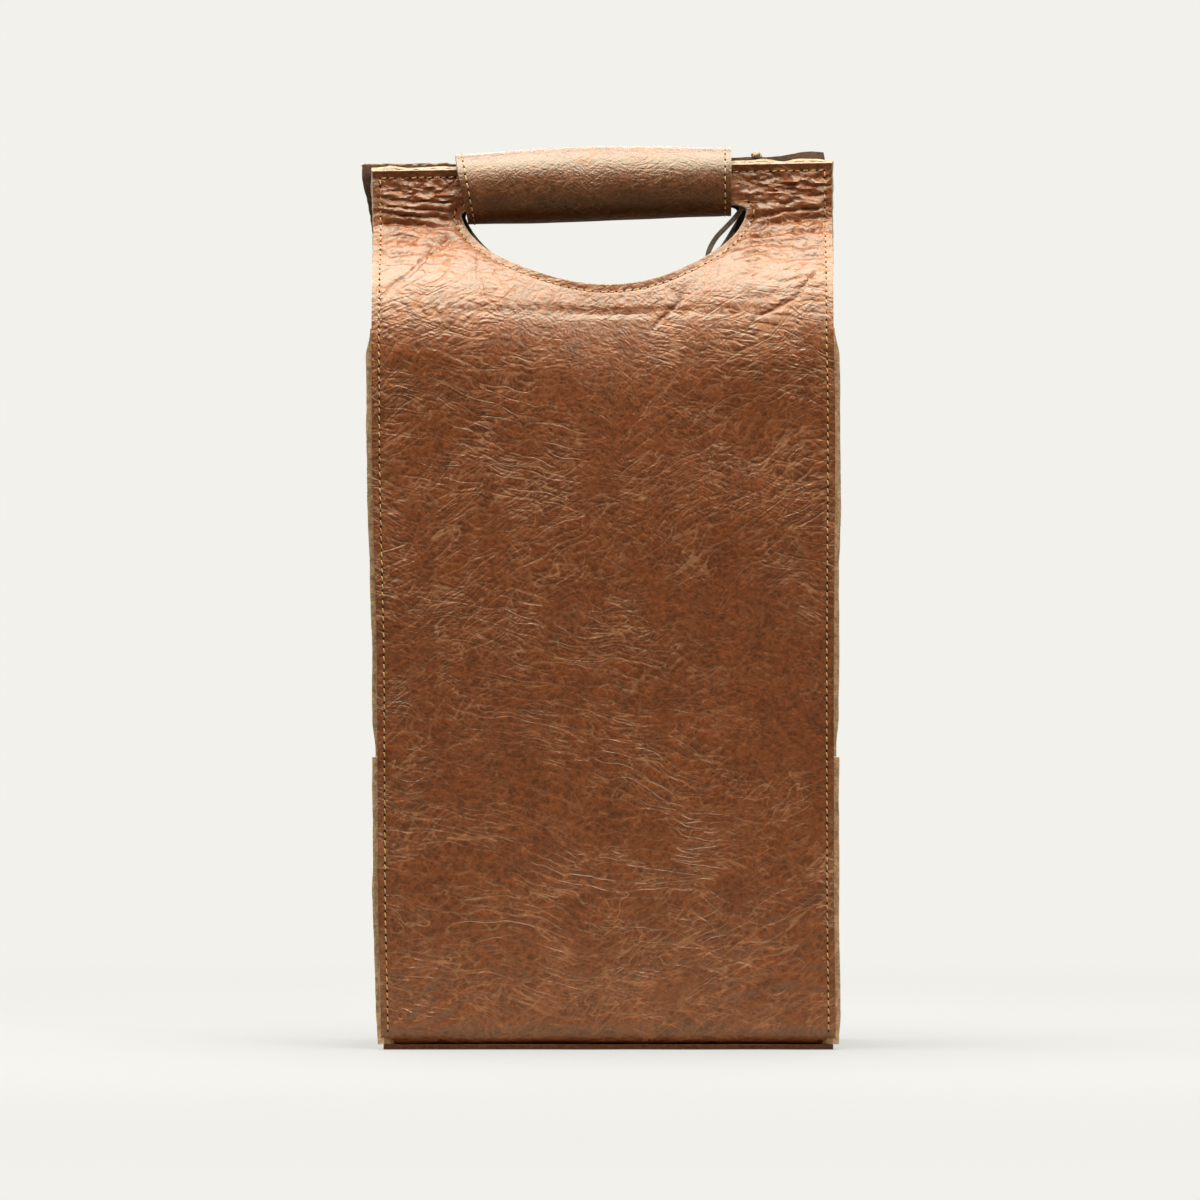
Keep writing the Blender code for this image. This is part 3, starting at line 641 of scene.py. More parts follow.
class Wire:
    """An output socket of a material's nodes, used as a value in Python expressions."""

    def __init__(self, tree, socket=None):
        self.tree = tree
        self.socket = socket

    def make(self, kind, inputs, output=0, **settings):
        """Any node: its settings first, then the values or links of its sockets."""
        node = self.tree.nodes.new(kind)
        for name, value in settings.items():
            setattr(node, name, value)
        for key, value in inputs.items():
            if isinstance(value, Wire):
                self.tree.links.new(value.socket, node.inputs[key])
            else:
                node.inputs[key].default_value = value
        return Wire(self.tree, node.outputs[output])

    def maths(self, operation, a, b=0.0):
        return self.make("ShaderNodeMath", {0: a, 1: b}, operation=operation)

    def __add__(self, other):
        return self.maths("ADD", self, other)

    def __sub__(self, other):
        return self.maths("SUBTRACT", self, other)

    def __rsub__(self, other):
        return self.maths("SUBTRACT", other, self)

    def __mul__(self, other):
        return self.maths("MULTIPLY", self, other)

    __radd__ = __add__
    __rmul__ = __mul__

    def step(self, low, high):
        """0 below low, 1 above high and smooth between them."""
        return self.make(
            "ShaderNodeMapRange", {"Value": self, "From Min": low, "From Max": high},
            interpolation_type="SMOOTHSTEP")

    def ridge(self, middle, width):
        """1 where this value passes the middle, falling to 0 a width to either side."""
        away = self - middle
        return 1 - away.maths("ABSOLUTE", away).step(0.25 * width, width)

    def scaled(self, factors):
        return self.make("ShaderNodeVectorMath", {0: self, 1: factors}, operation="MULTIPLY")

    def shifted(self, other):
        return self.make("ShaderNodeVectorMath", {0: self, 1: other}, operation="ADD")

    def turned(self, degrees, factors):
        """The same place read in a frame that is turned about the depth axis and stretched."""
        spun = self.make("ShaderNodeVectorRotate", {"Vector": self, "Angle": math.radians(degrees)},
                         rotation_type="Y_AXIS")
        return spun.scaled(factors)

    def noise(self, scale, detail=2.0, roughness=0.5, output=0):
        return self.make(
            "ShaderNodeTexNoise",
            {"Vector": self, "Scale": scale, "Detail": detail, "Roughness": roughness}, output)

    def cells(self, scale, feature="DISTANCE_TO_EDGE"):
        return self.make("ShaderNodeTexVoronoi", {"Vector": self, "Scale": scale}, feature=feature)

    def blend(self, low, high):
        """A colour between low and high, by this value."""
        return self.make("ShaderNodeMix", {0: self, 6: low, 7: high}, 2, data_type="RGBA")


def rgba(colour, factor=1.0):
    return (*(min(1.0, c * factor) for c in colour), 1.0)


def start_material(name):
    """(material, its Principled shader, the place on the object)."""
    material = bpy.data.materials.new(name)
    material.use_nodes = True
    tree = material.node_tree
    shader = tree.nodes["Principled BSDF"]
    place = Wire(tree).make("ShaderNodeTexCoord", {}, "Object")
    return material, shader, place


def finish_material(shader, place, colour, roughness, height, specular, tint=(1.0, 1.0, 1.0)):
    """Links what varies; height is in metres."""
    tree = place.tree
    bump = place.make("ShaderNodeBump", {"Strength": 1.0, "Distance": 1.0, "Height": height})
    shader.inputs["Specular IOR Level"].default_value = specular
    shader.inputs["Specular Tint"].default_value = (*tint, 1.0)
    tree.links.new(colour.socket, shader.inputs["Base Color"])
    tree.links.new(roughness.socket, shader.inputs["Roughness"])
    tree.links.new(bump.socket, shader.inputs["Normal"])


def crease_direction(bent, worn, net_tilt, net_scale, line, valley, run_tilt, run_scale):
    """(thin lines, wide valleys) of the creases that run one way, strongest where the leather is worn."""
    net = bent.turned(net_tilt, (0.50, 0.8, 2.0)).cells(net_scale)
    runs = bent.turned(run_tilt, (0.45, 0.8, 2.4)).noise(run_scale, 1.0)
    lines = (0.6 * (1 - net.step(0.0, line)) + 1.1 * runs.ridge(0.5, 0.015)) * worn
    valleys = (1 - net.step(0.0, valley) + 0.8 * runs.ridge(0.5, 0.05)) * worn
    return lines, valleys


def make_grain_leather(name, ground, crease_colour, cell, crease_depth, strength, gloss):
    """Full-grain leather: pebbles, creases two ways that pull up lighter, mottling and a satin face."""
    material, shader, place = start_material(name)
    drift, ripple = (
        place.noise(scale, detail, output=1).shifted((-0.5, -0.5, -0.5)).scaled((reach, reach, reach))
        for scale, detail, reach in ((26.0, 2.0, 16 * MM), (150.0, 1.0, 1.2 * MM)))
    bent = place.shifted(drift).shifted(ripple)
    fade = 0.35 + 0.65 * place.noise(55.0, 2.0).step(0.34, 0.60)
    worn = (0.3 + 0.7 * place.noise(10.0, 2.0).step(0.40, 0.62)) * fade
    falls, falls_dip = crease_direction(bent, worn, 35.0, 0.50 / cell, 0.045, 0.20, 32.0, 0.34 / cell)
    worn = (0.3 + 0.7 * place.shifted((3.1, 1.7, 0.4)).noise(12.0, 2.0).step(0.38, 0.60)) * fade
    level, level_dip = crease_direction(bent, worn, -12.0, 0.56 / cell, 0.050, 0.22, -14.0, 0.38 / cell)
    small = bent.turned(-30.0, (0.95, 0.95, 1.1)).cells(1.7 / cell)
    lines = (falls + level) * strength + (1 - small.step(0.0, 0.09)) * (0.14 + 0.18 * worn)
    lines = lines.maths("MINIMUM", lines, 1.0)
    valleys = falls_dip + level_dip + 0.42 * (1 - small.step(0.0, 0.30))
    pebbles = bent.cells(2.6 / cell, "SMOOTH_F1")
    pores = place.noise(1500.0, 2.0, 0.6)
    speck = place.noise(430.0, 4.0, 0.7)
    cloud = place.noise(120.0, 4.0, 0.6)
    tone = (speck - 0.5) * 2.0 + (cloud - 0.5) * 0.9 + 0.5
    ground_tone = tone.step(0.05, 0.95).blend(rgba(ground, 0.62), rgba(ground, 1.42))
    colour = (lines * 0.60).blend(ground_tone, rgba(crease_colour))
    roughness = 0.25 + 0.14 * speck + 0.45 * lines
    dents = (pores - 0.5) * (0.05 * MM) + (speck - 0.5) * (0.14 * MM) + (cloud - 0.5) * (0.3 * MM)
    height = dents - pebbles * (0.12 * MM) - valleys * crease_depth
    finish_material(shader, place, colour, roughness, height, gloss, (1.0, 1.0, 0.76))
    return material


def make_suede(name, ground, fibre):
    """The flesh side or a cut edge: matt, fibrous and speckled."""
    material, shader, place = start_material(name)
    nap = place.noise(1400.0, 3.0, 0.7)
    clump = place.noise(420.0, 2.0)
    tone = (nap - 0.5) * 1.3 + (clump - 0.5) * 0.9 + 0.5
    colour = tone.step(0.0, 1.0).blend(rgba(ground, 0.50), rgba(ground, 1.55))
    roughness = 0.82 + 0.14 * nap
    height = (nap - 0.5) * fibre + (clump - 0.5) * (1.5 * fibre)
    finish_material(shader, place, colour, roughness, height, 0.2)
    return material


def make_thread_material(name, ground):
    material, shader, place = start_material(name)
    twist = place.noise(2600.0, 1.0)
    fade = place.noise(90.0, 2.0)
    colour = (0.5 * twist + 0.5 * fade).step(0.25, 0.75).blend(rgba(ground, 0.62), rgba(ground, 1.30))
    finish_material(shader, place, colour, 0.45 + 0.3 * twist, (twist - 0.5) * (0.12 * MM), 0.4)
    return material


def make_board_material(name, ground):
    material, shader, place = start_material(name)
    chips = place.scaled((1.0, 1.0, 4.0)).noise(700.0, 3.0, 0.7)
    colour = chips.step(0.3, 0.7).blend(rgba(ground, 0.7), rgba(ground, 1.25))
    finish_material(shader, place, colour, 0.8 + 0.15 * chips, (chips - 0.5) * (0.08 * MM), 0.2)
    return material


def make_steel_material(name, ground):
    material, shader, place = start_material(name)
    brushed = place.scaled((1.0, 30.0, 30.0)).noise(500.0, 2.0)
    colour = brushed.step(0.3, 0.7).blend(rgba(ground, 0.85), rgba(ground, 1.1))
    shader.inputs["Metallic"].default_value = 1.0
    finish_material(shader, place, colour, 0.22 + 0.16 * brushed, (brushed - 0.5) * (0.01 * MM), 0.5)
    return material


class Finishes:
    """The materials, made once and shared by the pieces."""

    made = {}

    @staticmethod
    def table(c):
        """Each finish's maker and what it is given; c holds the case's colours."""
        grain = make_grain_leather
        return {
            "panel": (grain, "panel grain", c.leather, c.crease, 4.2 * MM, 0.14 * MM, 0.9, 1.0),
            "wrap": (grain, "wrap grain", c.wrap, c.crease, 2.6 * MM, 0.07 * MM, 0.5, 1.0),
            "gusset": (grain, "gusset grain", c.leather, c.crease, 3.4 * MM, 0.14 * MM, 0.7, 0.6),
            "suede": (make_suede, "suede", c.suede, 0.16 * MM),
            "nap": (make_suede, "flange nap", c.nap, 0.22 * MM),
            "raw": (make_suede, "raw edge", c.raw_edge, 0.10 * MM),
            # Painted shade: a near-black flesh side for the facings' inner faces.
            "painted_shade_lining": (make_suede, "dark flesh side", c.painted_shade_lining, 0.08 * MM),
            # Painted shade on the base leather's cut edge under the foot.
            "burnished": (make_suede, "burnished edge", c.burnished, 0.05 * MM),
            "thread": (make_thread_material, "thread", c.thread),
            # Painted shade for the needle holes.
            "hole": (make_suede, "needle hole", c.needle_hole, 0.02 * MM),
            "lace": (make_suede, "lace leather", c.lace, 0.05 * MM),
            "nub": (make_suede, "lace end", c.raw_edge, 0.05 * MM),
            "board": (make_board_material, "fibre board", c.board),
            "steel": (make_steel_material, "plated steel", c.steel),
        }

    @classmethod
    def get(cls, name, colours):
        if name not in cls.made:
            maker, *values = cls.table(colours)[name]
            cls.made[name] = maker(*values)
        return cls.made[name]


def finishes(context, *names):
    return [Finishes.get(name, context.scene.case_colours) for name in names]


def make_piece(name, bm, materials):
    mesh = bpy.data.meshes.new(name)
    bm.to_mesh(mesh)
    bm.free()
    obj = bpy.data.objects.new(name, mesh)
    bpy.context.scene.collection.objects.link(obj)
    for material in materials:
        mesh.materials.append(material)
    return obj


def thicken(obj, thickness, offset):
    """Gives a leather its thickness, its flesh side as second material and its cut edge as third."""
    modifier = obj.modifiers.new("Thickness", "SOLIDIFY")
    modifier.thickness = thickness
    modifier.offset = offset
    modifier.material_offset = 1
    modifier.material_offset_rim = 2
    bake_modifiers(obj)


def bake_modifiers(obj):
    graph = bpy.context.evaluated_depsgraph_get()
    mesh = bpy.data.meshes.new_from_object(obj.evaluated_get(graph))
    obj.modifiers.clear()
    old, obj.data = obj.data, mesh
    name = old.name
    bpy.data.meshes.remove(old)
    mesh.name = name
    mesh.shade_smooth()
    mesh.set_sharp_from_angle(angle=math.radians(55))


def cut_flat(width, low, high, cell):
    """A flat leather of square cells, x across it and y the length along it."""
    bm = bmesh.new()
    columns, rows = round(width / cell), round((high - low) / cell)
    bmesh.ops.create_grid(bm, x_segments=columns, y_segments=rows, size=1.0)
    grow = Matrix.Diagonal((width / 2, (high - low) / 2, 1.0, 1.0))
    bmesh.ops.transform(bm, matrix=Matrix.Translation((0, (low + high) / 2, 0)) @ grow, verts=bm.verts)
    return bm


def shape_leather(name, bm, place, materials, thickness, offset, flip=False, inset=0.0):
    """Moves a flat leather's points to their places, sets it inwards and gives it its thickness."""
    for vert in bm.verts:
        vert.co = place(vert.co.x, vert.co.y)
    if flip:
        bmesh.ops.reverse_faces(bm, faces=bm.faces)
    if inset:
        bm.normal_update()
        for vert in bm.verts:
            vert.co -= vert.normal * inset
    obj = make_piece(name, bm, materials)
    thicken(obj, thickness, offset)
    return obj


def cut_hole(bm, hide):
    """Cuts the hand hole, with the nearest points of the leather pulled on to its rim."""
    inside = {v for v in bm.verts if hide.in_hole(v.co.x, v.co.y)}
    rim = set()
    for edge in bm.edges:
        a, b = edge.verts
        if (a in inside) != (b in inside):
            near = min((a, b), key=lambda v: hide.rim_distance(v.co.x, v.co.y))
            rim.add(near)
    for vert in rim:
        spot = hide.tree.find((vert.co.x, vert.co.y, 0.0))[0]
        vert.co = Vector((spot.x, spot.y, 0.0))
    inside -= rim
    for face in list(bm.faces):
        gone = [v for v in face.verts if v in inside]
        if len(gone) == 1 and len(face.verts) == 4:
            verts = list(face.verts)
            at = verts.index(gone[0])
            before, after, across = verts[at - 1], verts[(at + 1) % 4], verts[(at + 2) % 4]
            if across not in rim:
                bmesh.utils.face_split(face, before, after)
    bmesh.ops.delete(bm, geom=list(inside), context="VERTS")


def fold_leather(name, hide, low, high, cell, inset, materials, fine_from=None):
    """A panel or facing: cut flat, with finer cells from a length upwards, holed and folded."""
    bm = cut_flat(2 * (HALF_WIDTH - 0.25 * inset), low, high, cell)
    if fine_from is not None:
        edges = {e for f in bm.faces if f.calc_center_median().y > fine_from for e in f.edges}
        bmesh.ops.subdivide_edges(bm, edges=list(edges), cuts=1, use_grid_fill=True)
    cut_hole(bm, hide)
    return shape_leather(name, bm, hide.point, materials, LAYER, -1, hide.side > 0, inset)


def shoulder(side):
    """Where a panel's leather starts and ends its bend over the shoulder hinge."""
    face = side * HALF_DEPTH
    return {"start": (0, face, BEND_HEIGHT - BEND_REACH), "end": (0, face, BEND_HEIGHT + BEND_REACH)}


class OBJECT_OT_case_panels(Operator):
    """Folds the front and back leathers and the facings inside their tops"""

    bl_idname = "object.case_panels"
    bl_label = "Panels and facings"

    def execute(self, context):
        sizes = context.scene.case_sizes
        raw = finishes(context, "raw")[0]
        hides = {"front": Hide(-1, sizes), "back": Hide(1, sizes)}
        for label, hide in hides.items():
            bend = hide.section.length_at_height(BEND_HEIGHT)
            leather = fold_leather(
                f"{label}_leather", hide, 0.0, hide.total, sizes.cell, 0.0,
                finishes(context, "panel", "suede", "raw"), fine_from=bend - 6 * MM)
            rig.slot(leather, "grain_leather")
            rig.replaces(leather, f"{label}_panel_lower", f"{label}_panel_upper")
            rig.blend(leather, "case", f"{label}_top", **shoulder(hide.side))
            # The facing's inner face takes the painted-shade colour, for the shade between the strips and at the
            # hole's far rim.
            facing = fold_leather(
                f"{label}_facing_leather", hide, bend + 3.5 * MM, hide.total, 1.25 * sizes.cell,
                LAYER + LAYER_GAP, finishes(context, "suede", "painted_shade_lining", "raw"))
            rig.slot(facing, "flesh_leather")
            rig.replaces(facing, f"{label}_facing")
            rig.ride(facing, f"{label}_top")
            centre = Vector((0.0, (hide.hole_low + hide.hole_high) / 2))
            inner = [spot + (centre - spot).normalized() * 0.35 * MM for spot in hide.outline[::3]]
            rim = [hide.seat(spot.x, spot.y) for spot in inner]
            edge = make_tube(
                f"{label}_hole_edge", [place - out * 0.5 * MM for place, out in rim], HOLE_EDGE_RADIUS,
                raw, cyclic=True)
            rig.slot(edge, "grain_leather")
            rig.ride(edge, f"{label}_top")
        hide = hides["back"]
        top = [hide.seat(x, hide.total - 0.1 * MM) for x in sample(-HALF_WIDTH, BACK_CORNER_END, 23)]
        corner = make_tube(
            "back_corner_edge", [place - out * BACK_CORNER_DEPTH for place, out in top],
            BACK_CORNER_RADIUS, raw)
        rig.slot(corner, "grain_leather")
        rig.ride(corner, "back_top")
        return {"FINISHED"}


def flanged_section(wall, tip, face):
    """Plan of a leather at mid-thickness: a wall at one x, with flanges out to the tip at each face."""
    middle, turn = wall + FLANGE_TURN, FLANGE_TURN
    corners = [Vector((tip, -face)), *arc((middle, turn - face), turn, 270, 180)]
    return Section(corners + [*arc((middle, face - turn), turn, 180, 90), Vector((tip, face))])


def channel_section():
    return flanged_section(GUSSET_WALL, FLANGE_TIP, FLANGE_Y)


def channel_point(section, hand, length, z, kind):
    """A point of a gusset or of the cradle's side, with its flange wavy and its wall a little slack."""
    place, out = section.at(length), section.left(length)
    seed = 7.0 * hand + (3.0 if kind == "cradle" else 0.0) + (1.5 if place.y > 0 else 0.0)
    Z, Y = z / MM, place.y / MM
    flange = smooth(92.5, 95.5, place.x / MM)
    wave = 0.45 * noise.noise(Vector((Z / 26, seed, 0.3))) + 0.2 * noise.noise(Vector((Z / 7, seed, 4.2)))
    if kind == "gusset":
        wave -= 1.1 * (1 - smooth(124, 136, Z)) + 1.8 * smooth(284, 296, Z)
    else:
        wave -= 0.9 * (1 - smooth(2, 16, Z))
    wall = 1 - smooth(30, 41, abs(Y))
    slack = 1.6 * noise.noise(Vector((Y / 30, Z / 60, seed + 2))) + 0.5 * billow(Y, Z, 26, 12, seed)
    pleat = 2.6 * hump(Y, 0, 16) * smooth(170, 300, Z)
    sink = (slack * 0.8 + pleat) * wall * smooth(6, 30, Z) * (0.4 + 0.6 * smooth(0, 24, abs(Z - 120)))
    if kind == "gusset":
        sink += 2.2 * (1 - smooth(120, 128, Z)) * (1 - smooth(34, 37.5, abs(Y)))
    x = place.x + (flange * wave + out.x * sink) * MM
    return settle(Vector((hand * x, place.y, z)))


def make_channel(name, hand, low, high, kind, cell, materials, keep=None):
    section = channel_section()
    bm = cut_flat(section.total, low, high, cell)
    if keep:
        gone = [f for f in bm.faces if not keep(section, f.calc_center_median())]
        bmesh.ops.delete(bm, geom=gone, context="FACES")
    for face in bm.faces:
        if abs(face.calc_center_median().x) > section.total / 2 - NAP_WIDTH:
            face.material_index = 2
    return shape_leather(
        name, bm, lambda x, z: channel_point(section, hand, x + section.total / 2, z, kind),
        materials, GUSSET_LAYER, 0, flip=hand < 0)


def lap_only(section, spot):
    """Keeps the whole channel above the cradle and only the wall's tongue behind it."""
    place = section.at(min(section.total, max(0.0, spot.x + section.total / 2)))
    return spot.y > CRADLE_TOP + LAYER_GAP or abs(place.y) < FLANGE_Y - 2.4 * FLANGE_TURN


class OBJECT_OT_case_gussets(Operator):
    """Makes the two side leathers and the cradle that runs under the base between them"""

    bl_idname = "object.case_gussets"
    bl_label = "Gussets and cradle"

    def execute(self, context):
        cell = context.scene.case_sizes.cell * 1.1
        looks = finishes(context, "gusset", "suede", "nap")
        for hand, label in ((-1, "left"), (1, "right")):
            gusset = make_channel(
                f"{label}_gusset_leather", hand, CRADLE_TOP - LAP, GUSSET_TOP, "gusset", cell, looks,
                keep=lap_only)
            side = make_channel(
                f"{label}_cradle_leather", hand, 1.2 * GUSSET_LAYER, CRADLE_TOP, "cradle", cell, looks)
            for piece in (gusset, side):
                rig.slot(piece, "gusset_leather")
                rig.ride(piece, "case")
            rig.replaces(gusset, f"{label}_gusset")
        low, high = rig.box("cradle")

        def base_point(x, y):
            wave = 0.12 * MM * noise.noise(Vector((x * 40, y * 40, 2.0)))
            return settle(Vector((x, y, low.z + 0.15 * MM + wave)))

        # The base's cut edge takes the dark painted-shade colour that stands for the shade under the foot.
        base = shape_leather(
            "base_leather", cut_flat(2 * (HALF_WIDTH - MM), low.y, high.y, 3 * cell), base_point,
            finishes(context, "gusset", "suede", "burnished"), GUSSET_LAYER, -1, flip=True)
        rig.slot(base, "gusset_leather")
        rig.replaces(base, "cradle")
        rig.ride(base, "case")
        return {"FINISHED"}


class OBJECT_OT_case_inside(Operator):
    """Makes the divider, the base lining and the finish of the board under it"""

    bl_idname = "object.case_inside"
    bl_label = "Divider, lining and board"

    def execute(self, context):
        cell = context.scene.case_sizes.cell * 1.6
        looks = finishes(context, "suede", "suede", "raw")
        low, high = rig.box("divider")
        section = flanged_section(0.0, high.x, high.y - LAYER / 2)

        def divider_point(x, z):
            place = section.at(x + section.total / 2)
            free = 1 - smooth(34, 42, abs(place.y) / MM)
            bow = 2.2 * noise.noise(Vector((place.y * 24, z * 14, 5.0))) + math.sin(z * 31)
            dip = 3.0 * MM * hump(place.y, 0.0, 24 * MM) * smooth(0.7, 1.0, (z - low.z) / (high.z - low.z))
            return settle(Vector((place.x + free * bow * MM, place.y, z - dip)))

        divider = shape_leather(
            "divider_leather", cut_flat(section.total, low.z, high.z, cell), divider_point, looks, LAYER, 0)
        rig.slot(divider, "flesh_leather")
        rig.replaces(divider, "divider")
        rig.ride(divider, "case")
        floor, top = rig.box("base_liner")

        def liner_point(x, y):
            return Vector((x, y, top.z + 0.25 * MM * noise.noise(Vector((x * 30, y * 30, 8.0)))))

        liner = shape_leather(
            "base_lining", cut_flat(top.x - floor.x, floor.y, top.y, 2 * cell), liner_point, looks,
            top.z - floor.z, -1)
        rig.slot(liner, "flesh_leather")
        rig.replaces(liner, "base_liner")
        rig.ride(liner, "case")
        board = frame["nodes"]["base_board"]
        board.data.materials.clear()
        board.data.materials.append(finishes(context, "board")[0])
        return {"FINISHED"}


def wrap_radius(angle_deg):
    """The wrap's back half spirals in under the flap between the two step angles."""
    start, end = UNDERLAP_STEP_DEG
    return WRAP_RADIUS - (LAYER + LAYER_GAP) * smooth(0.0, 1.0, (start - angle_deg) / (start - end))


def wrap_point(x, angle_deg, lift=0.0):
    """A point on the outer face of the handle wrap, rolled a little unevenly and raised for the camera."""
    ends = min(x - WRAP_LEFT, WRAP_RIGHT - x)
    back, up = math.cos(math.radians(angle_deg)), math.sin(math.radians(angle_deg))
    uneven = 0.22 * MM * noise.noise(Vector((x * 45, back * 1.2, up * 1.2)))
    droop = -0.8 * MM * hump(x, WRAP_LEFT, 22 * MM) - 0.25 * MM * hump(ends, 2.6 * MM, 0.9 * MM)
    radius = wrap_radius(angle_deg) + uneven + droop + lift
    upper = 0.5 + 0.5 * up
    rise = upper * (CROWN_RISE + CROWN_BULGE * hump(x, -4 * MM, 42 * MM))
    rise += (1 - upper) * (UNDERSIDE_RISE + UNDERSIDE_SLOPE * x)
    return settle(Vector((x, radius * back, WRAP_HEIGHT + radius * up + rise)))


def wrap_start(angle_deg):
    """Where the slanted left end of the wrap lies at this angle."""
    height = wrap_radius(angle_deg) * math.sin(math.radians(angle_deg))
    return WRAP_LEFT + WRAP_SLANT * (WRAP_RADIUS - height) / (2 * WRAP_RADIUS)


def make_wrap(name, first_deg, last_deg, cell, materials):
    """The part of the wrap from the first angle to the last, cut flat and rolled."""
    width, span = WRAP_RIGHT - WRAP_LEFT, math.radians(last_deg - first_deg) * WRAP_RADIUS

    def place(x, length):
        angle = first_deg + (last_deg - first_deg) * length / span
        left = wrap_start(angle)
        return wrap_point(left + (WRAP_RIGHT - left) * (x / width + 0.5), angle)

    return shape_leather(name, cut_flat(width, 0.0, span, cell), place, materials, LAYER, -1, flip=True)


def make_snap(name, middle, radius, upward, materials):
    """A thin cap with a rolled rim and a dished face, let into the leather."""
    way, angle_deg, sunk = (1, 270.0, LAYER) if upward else (-1, -90.0, 0.0)
    face = wrap_point(middle.x, angle_deg).z + sunk
    bm = bmesh.new()
    verts = [bm.verts.new((radius * share, 0.0, way * height * MM)) for share, height in SNAP_SECTION]
    edges = [bm.edges.new(pair) for pair in zip(verts, verts[1:])]
    bmesh.ops.spin(
        bm, geom=verts + edges, cent=(0, 0, 0), axis=(0, 0, 1), dvec=(0, 0, 0), angle=2 * math.pi,
        steps=40, use_merge=True)
    bmesh.ops.remove_doubles(bm, verts=bm.verts, dist=1e-6)
    open_edges = [edge for edge in bm.edges if edge.is_boundary]
    bmesh.ops.holes_fill(bm, edges=open_edges, sides=64)
    bmesh.ops.recalc_face_normals(bm, faces=bm.faces)
    x = settle(Vector((middle.x, middle.y, face))).x
    bmesh.ops.translate(bm, vec=(x, middle.y, face - way * 0.02 * MM), verts=bm.verts)
    for item in bm.faces:
        item.smooth = True
    return make_piece(name, bm, materials)


def wrap_hinge():
    """Where the wrap's leather starts and ends its bend over the crown."""
    reach = WRAP_RADIUS * math.sin(math.radians(HINGE_SPAN_DEG))
    crown = WRAP_HEIGHT + WRAP_RADIUS
    return {"start": (0, reach, crown), "end": (0, -reach, crown)}


class OBJECT_OT_case_wrap(Operator):
    """Rolls the handle wrap: the part sewn to the back strip, the flap and the bend between them"""

    bl_idname = "object.case_wrap"
    bl_label = "Handle wrap and snaps"

    def execute(self, context):
        cell = 0.85 * context.scene.case_sizes.cell
        looks = finishes(context, "wrap", "suede", "raw")
        back = make_wrap("wrap_back_leather", UNDERLAP_END_DEG, 90 - HINGE_SPAN_DEG, cell, looks)
        flap = make_wrap("wrap_flap_leather", 90 + HINGE_SPAN_DEG, FLAP_END_DEG, cell, looks)
        bend = make_wrap("wrap_bend_leather", 90 - HINGE_SPAN_DEG, 90 + HINGE_SPAN_DEG, cell, looks)
        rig.replaces(back, "wrap_back")
        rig.replaces(flap, "wrap_flap")
        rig.ride(back, "back_top")
        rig.ride(flap, "flap")
        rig.blend(bend, "back_top", "flap", **wrap_hinge())
        for piece in (back, flap, bend):
            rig.slot(piece, "wrap_leather")
        for node, body, inner in (("snap_magnet", "flap", True), ("snap_plate", "back_top", False)):
            for label in ("left", "right"):
                low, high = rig.box(f"{node}_{label}")
                middle, radius = (low + high) / 2, (high.x - low.x) / 2
                snap = make_snap(f"{node}_{label}_cap", middle, radius, inner, finishes(context, "steel"))
                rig.replaces(snap, f"{node}_{label}")
                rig.slot(snap, "plated_steel")
                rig.ride(snap, body)
        return {"FINISHED"}


def smooth_route(points, spacing):
    """Points at about the given spacing on a smooth curve through the route's own points."""
    whole = [2 * points[0] - points[1], *points, 2 * points[-1] - points[-2]]
    found = []
    for p0, p1, p2, p3 in zip(whole, whole[1:], whole[2:], whole[3:]):
        steps = max(1, round((p2 - p1).length / spacing))
        for i in range(steps):
            t = i / steps
            found.append(0.5 * (2 * p1 + (p2 - p0) * t + (2 * p0 - 5 * p1 + 4 * p2 - p3) * t * t
                                + (3 * p1 - p0 - 3 * p2 + p3) * t ** 3))
    return found + [points[-1]]


def make_tube(name, points, radius, material, cyclic=False):
    curve = bpy.data.curves.new(name, "CURVE")
    curve.dimensions = "3D"
    curve.bevel_depth = radius
    curve.bevel_resolution = 4
    curve.use_fill_caps = True
    spline = curve.splines.new("POLY")
    spline.points.add(len(points) - 1)
    spline.use_cyclic_u = cyclic
    for target, point in zip(spline.points, points):
        target.co = (*point, 1.0)
    obj = bpy.data.objects.new(name, curve)
    bpy.context.scene.collection.objects.link(obj)
    curve.materials.append(material)
    return obj


def knot_route(middle):
    """A trefoil round the knot's middle, flattened along the strip."""
    route = []
    for turn in sample(0.0, 2 * math.pi, 72)[:-1]:
        x = 0.55 * (math.sin(turn) + 2 * math.sin(2 * turn))
        y = math.cos(turn) - 2 * math.cos(2 * turn)
        z = 0.9 - 0.6 * math.sin(3 * turn)
        route.append(settle(middle + Vector((x, y, z)) * MM))
    return route


class OBJECT_OT_case_lace(Operator):
    """Loops the leather lace round the back handle strip and knots it on top"""

    bl_idname = "object.case_lace"
    bl_label = "Lace and knot"

    def execute(self, context):
        sizes = context.scene.case_sizes
        lace_look, nub_look = finishes(context, "lace", "nub")
        route = smooth_route([settle(Vector(p) * MM) for p in LACE_ROUTE], 1.0 * MM)
        lace = make_tube("lace", route, sizes.lace / 2, lace_look)
        length = sum((b - a).length for a, b in zip(route, route[1:]))
        low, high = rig.box("lace_knot")
        turns = knot_route((low + high) / 2)
        knot = make_tube("lace_knot_turns", turns, 0.42 * sizes.lace, nub_look, cyclic=True)
        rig.replaces(lace, "lace_loop")
        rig.replaces(knot, "lace_knot")
        for piece in (lace, knot):
            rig.slot(piece, "lace_leather")
            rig.ride(piece, "back_top")
        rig.cord(
            lace, exit=tuple(route[0]), length=length, diameter=sizes.lace, far_end="knot",
            stiffness="limp", lay="hanging", with_pieces=[knot])
        return {"FINISHED"}


def make_bead(index):
    """A ball one metre across, to be stretched into a stitch or into the dark bead painted as a needle hole's shade.
    """
    bm = bmesh.new()
    bmesh.ops.create_uvsphere(bm, u_segments=8, v_segments=5, radius=0.5)
    for face in bm.faces:
        face.material_index = index
        face.smooth = True
    mesh = bpy.data.meshes.new("bead")
    bm.to_mesh(mesh)
    bm.free()
    return mesh


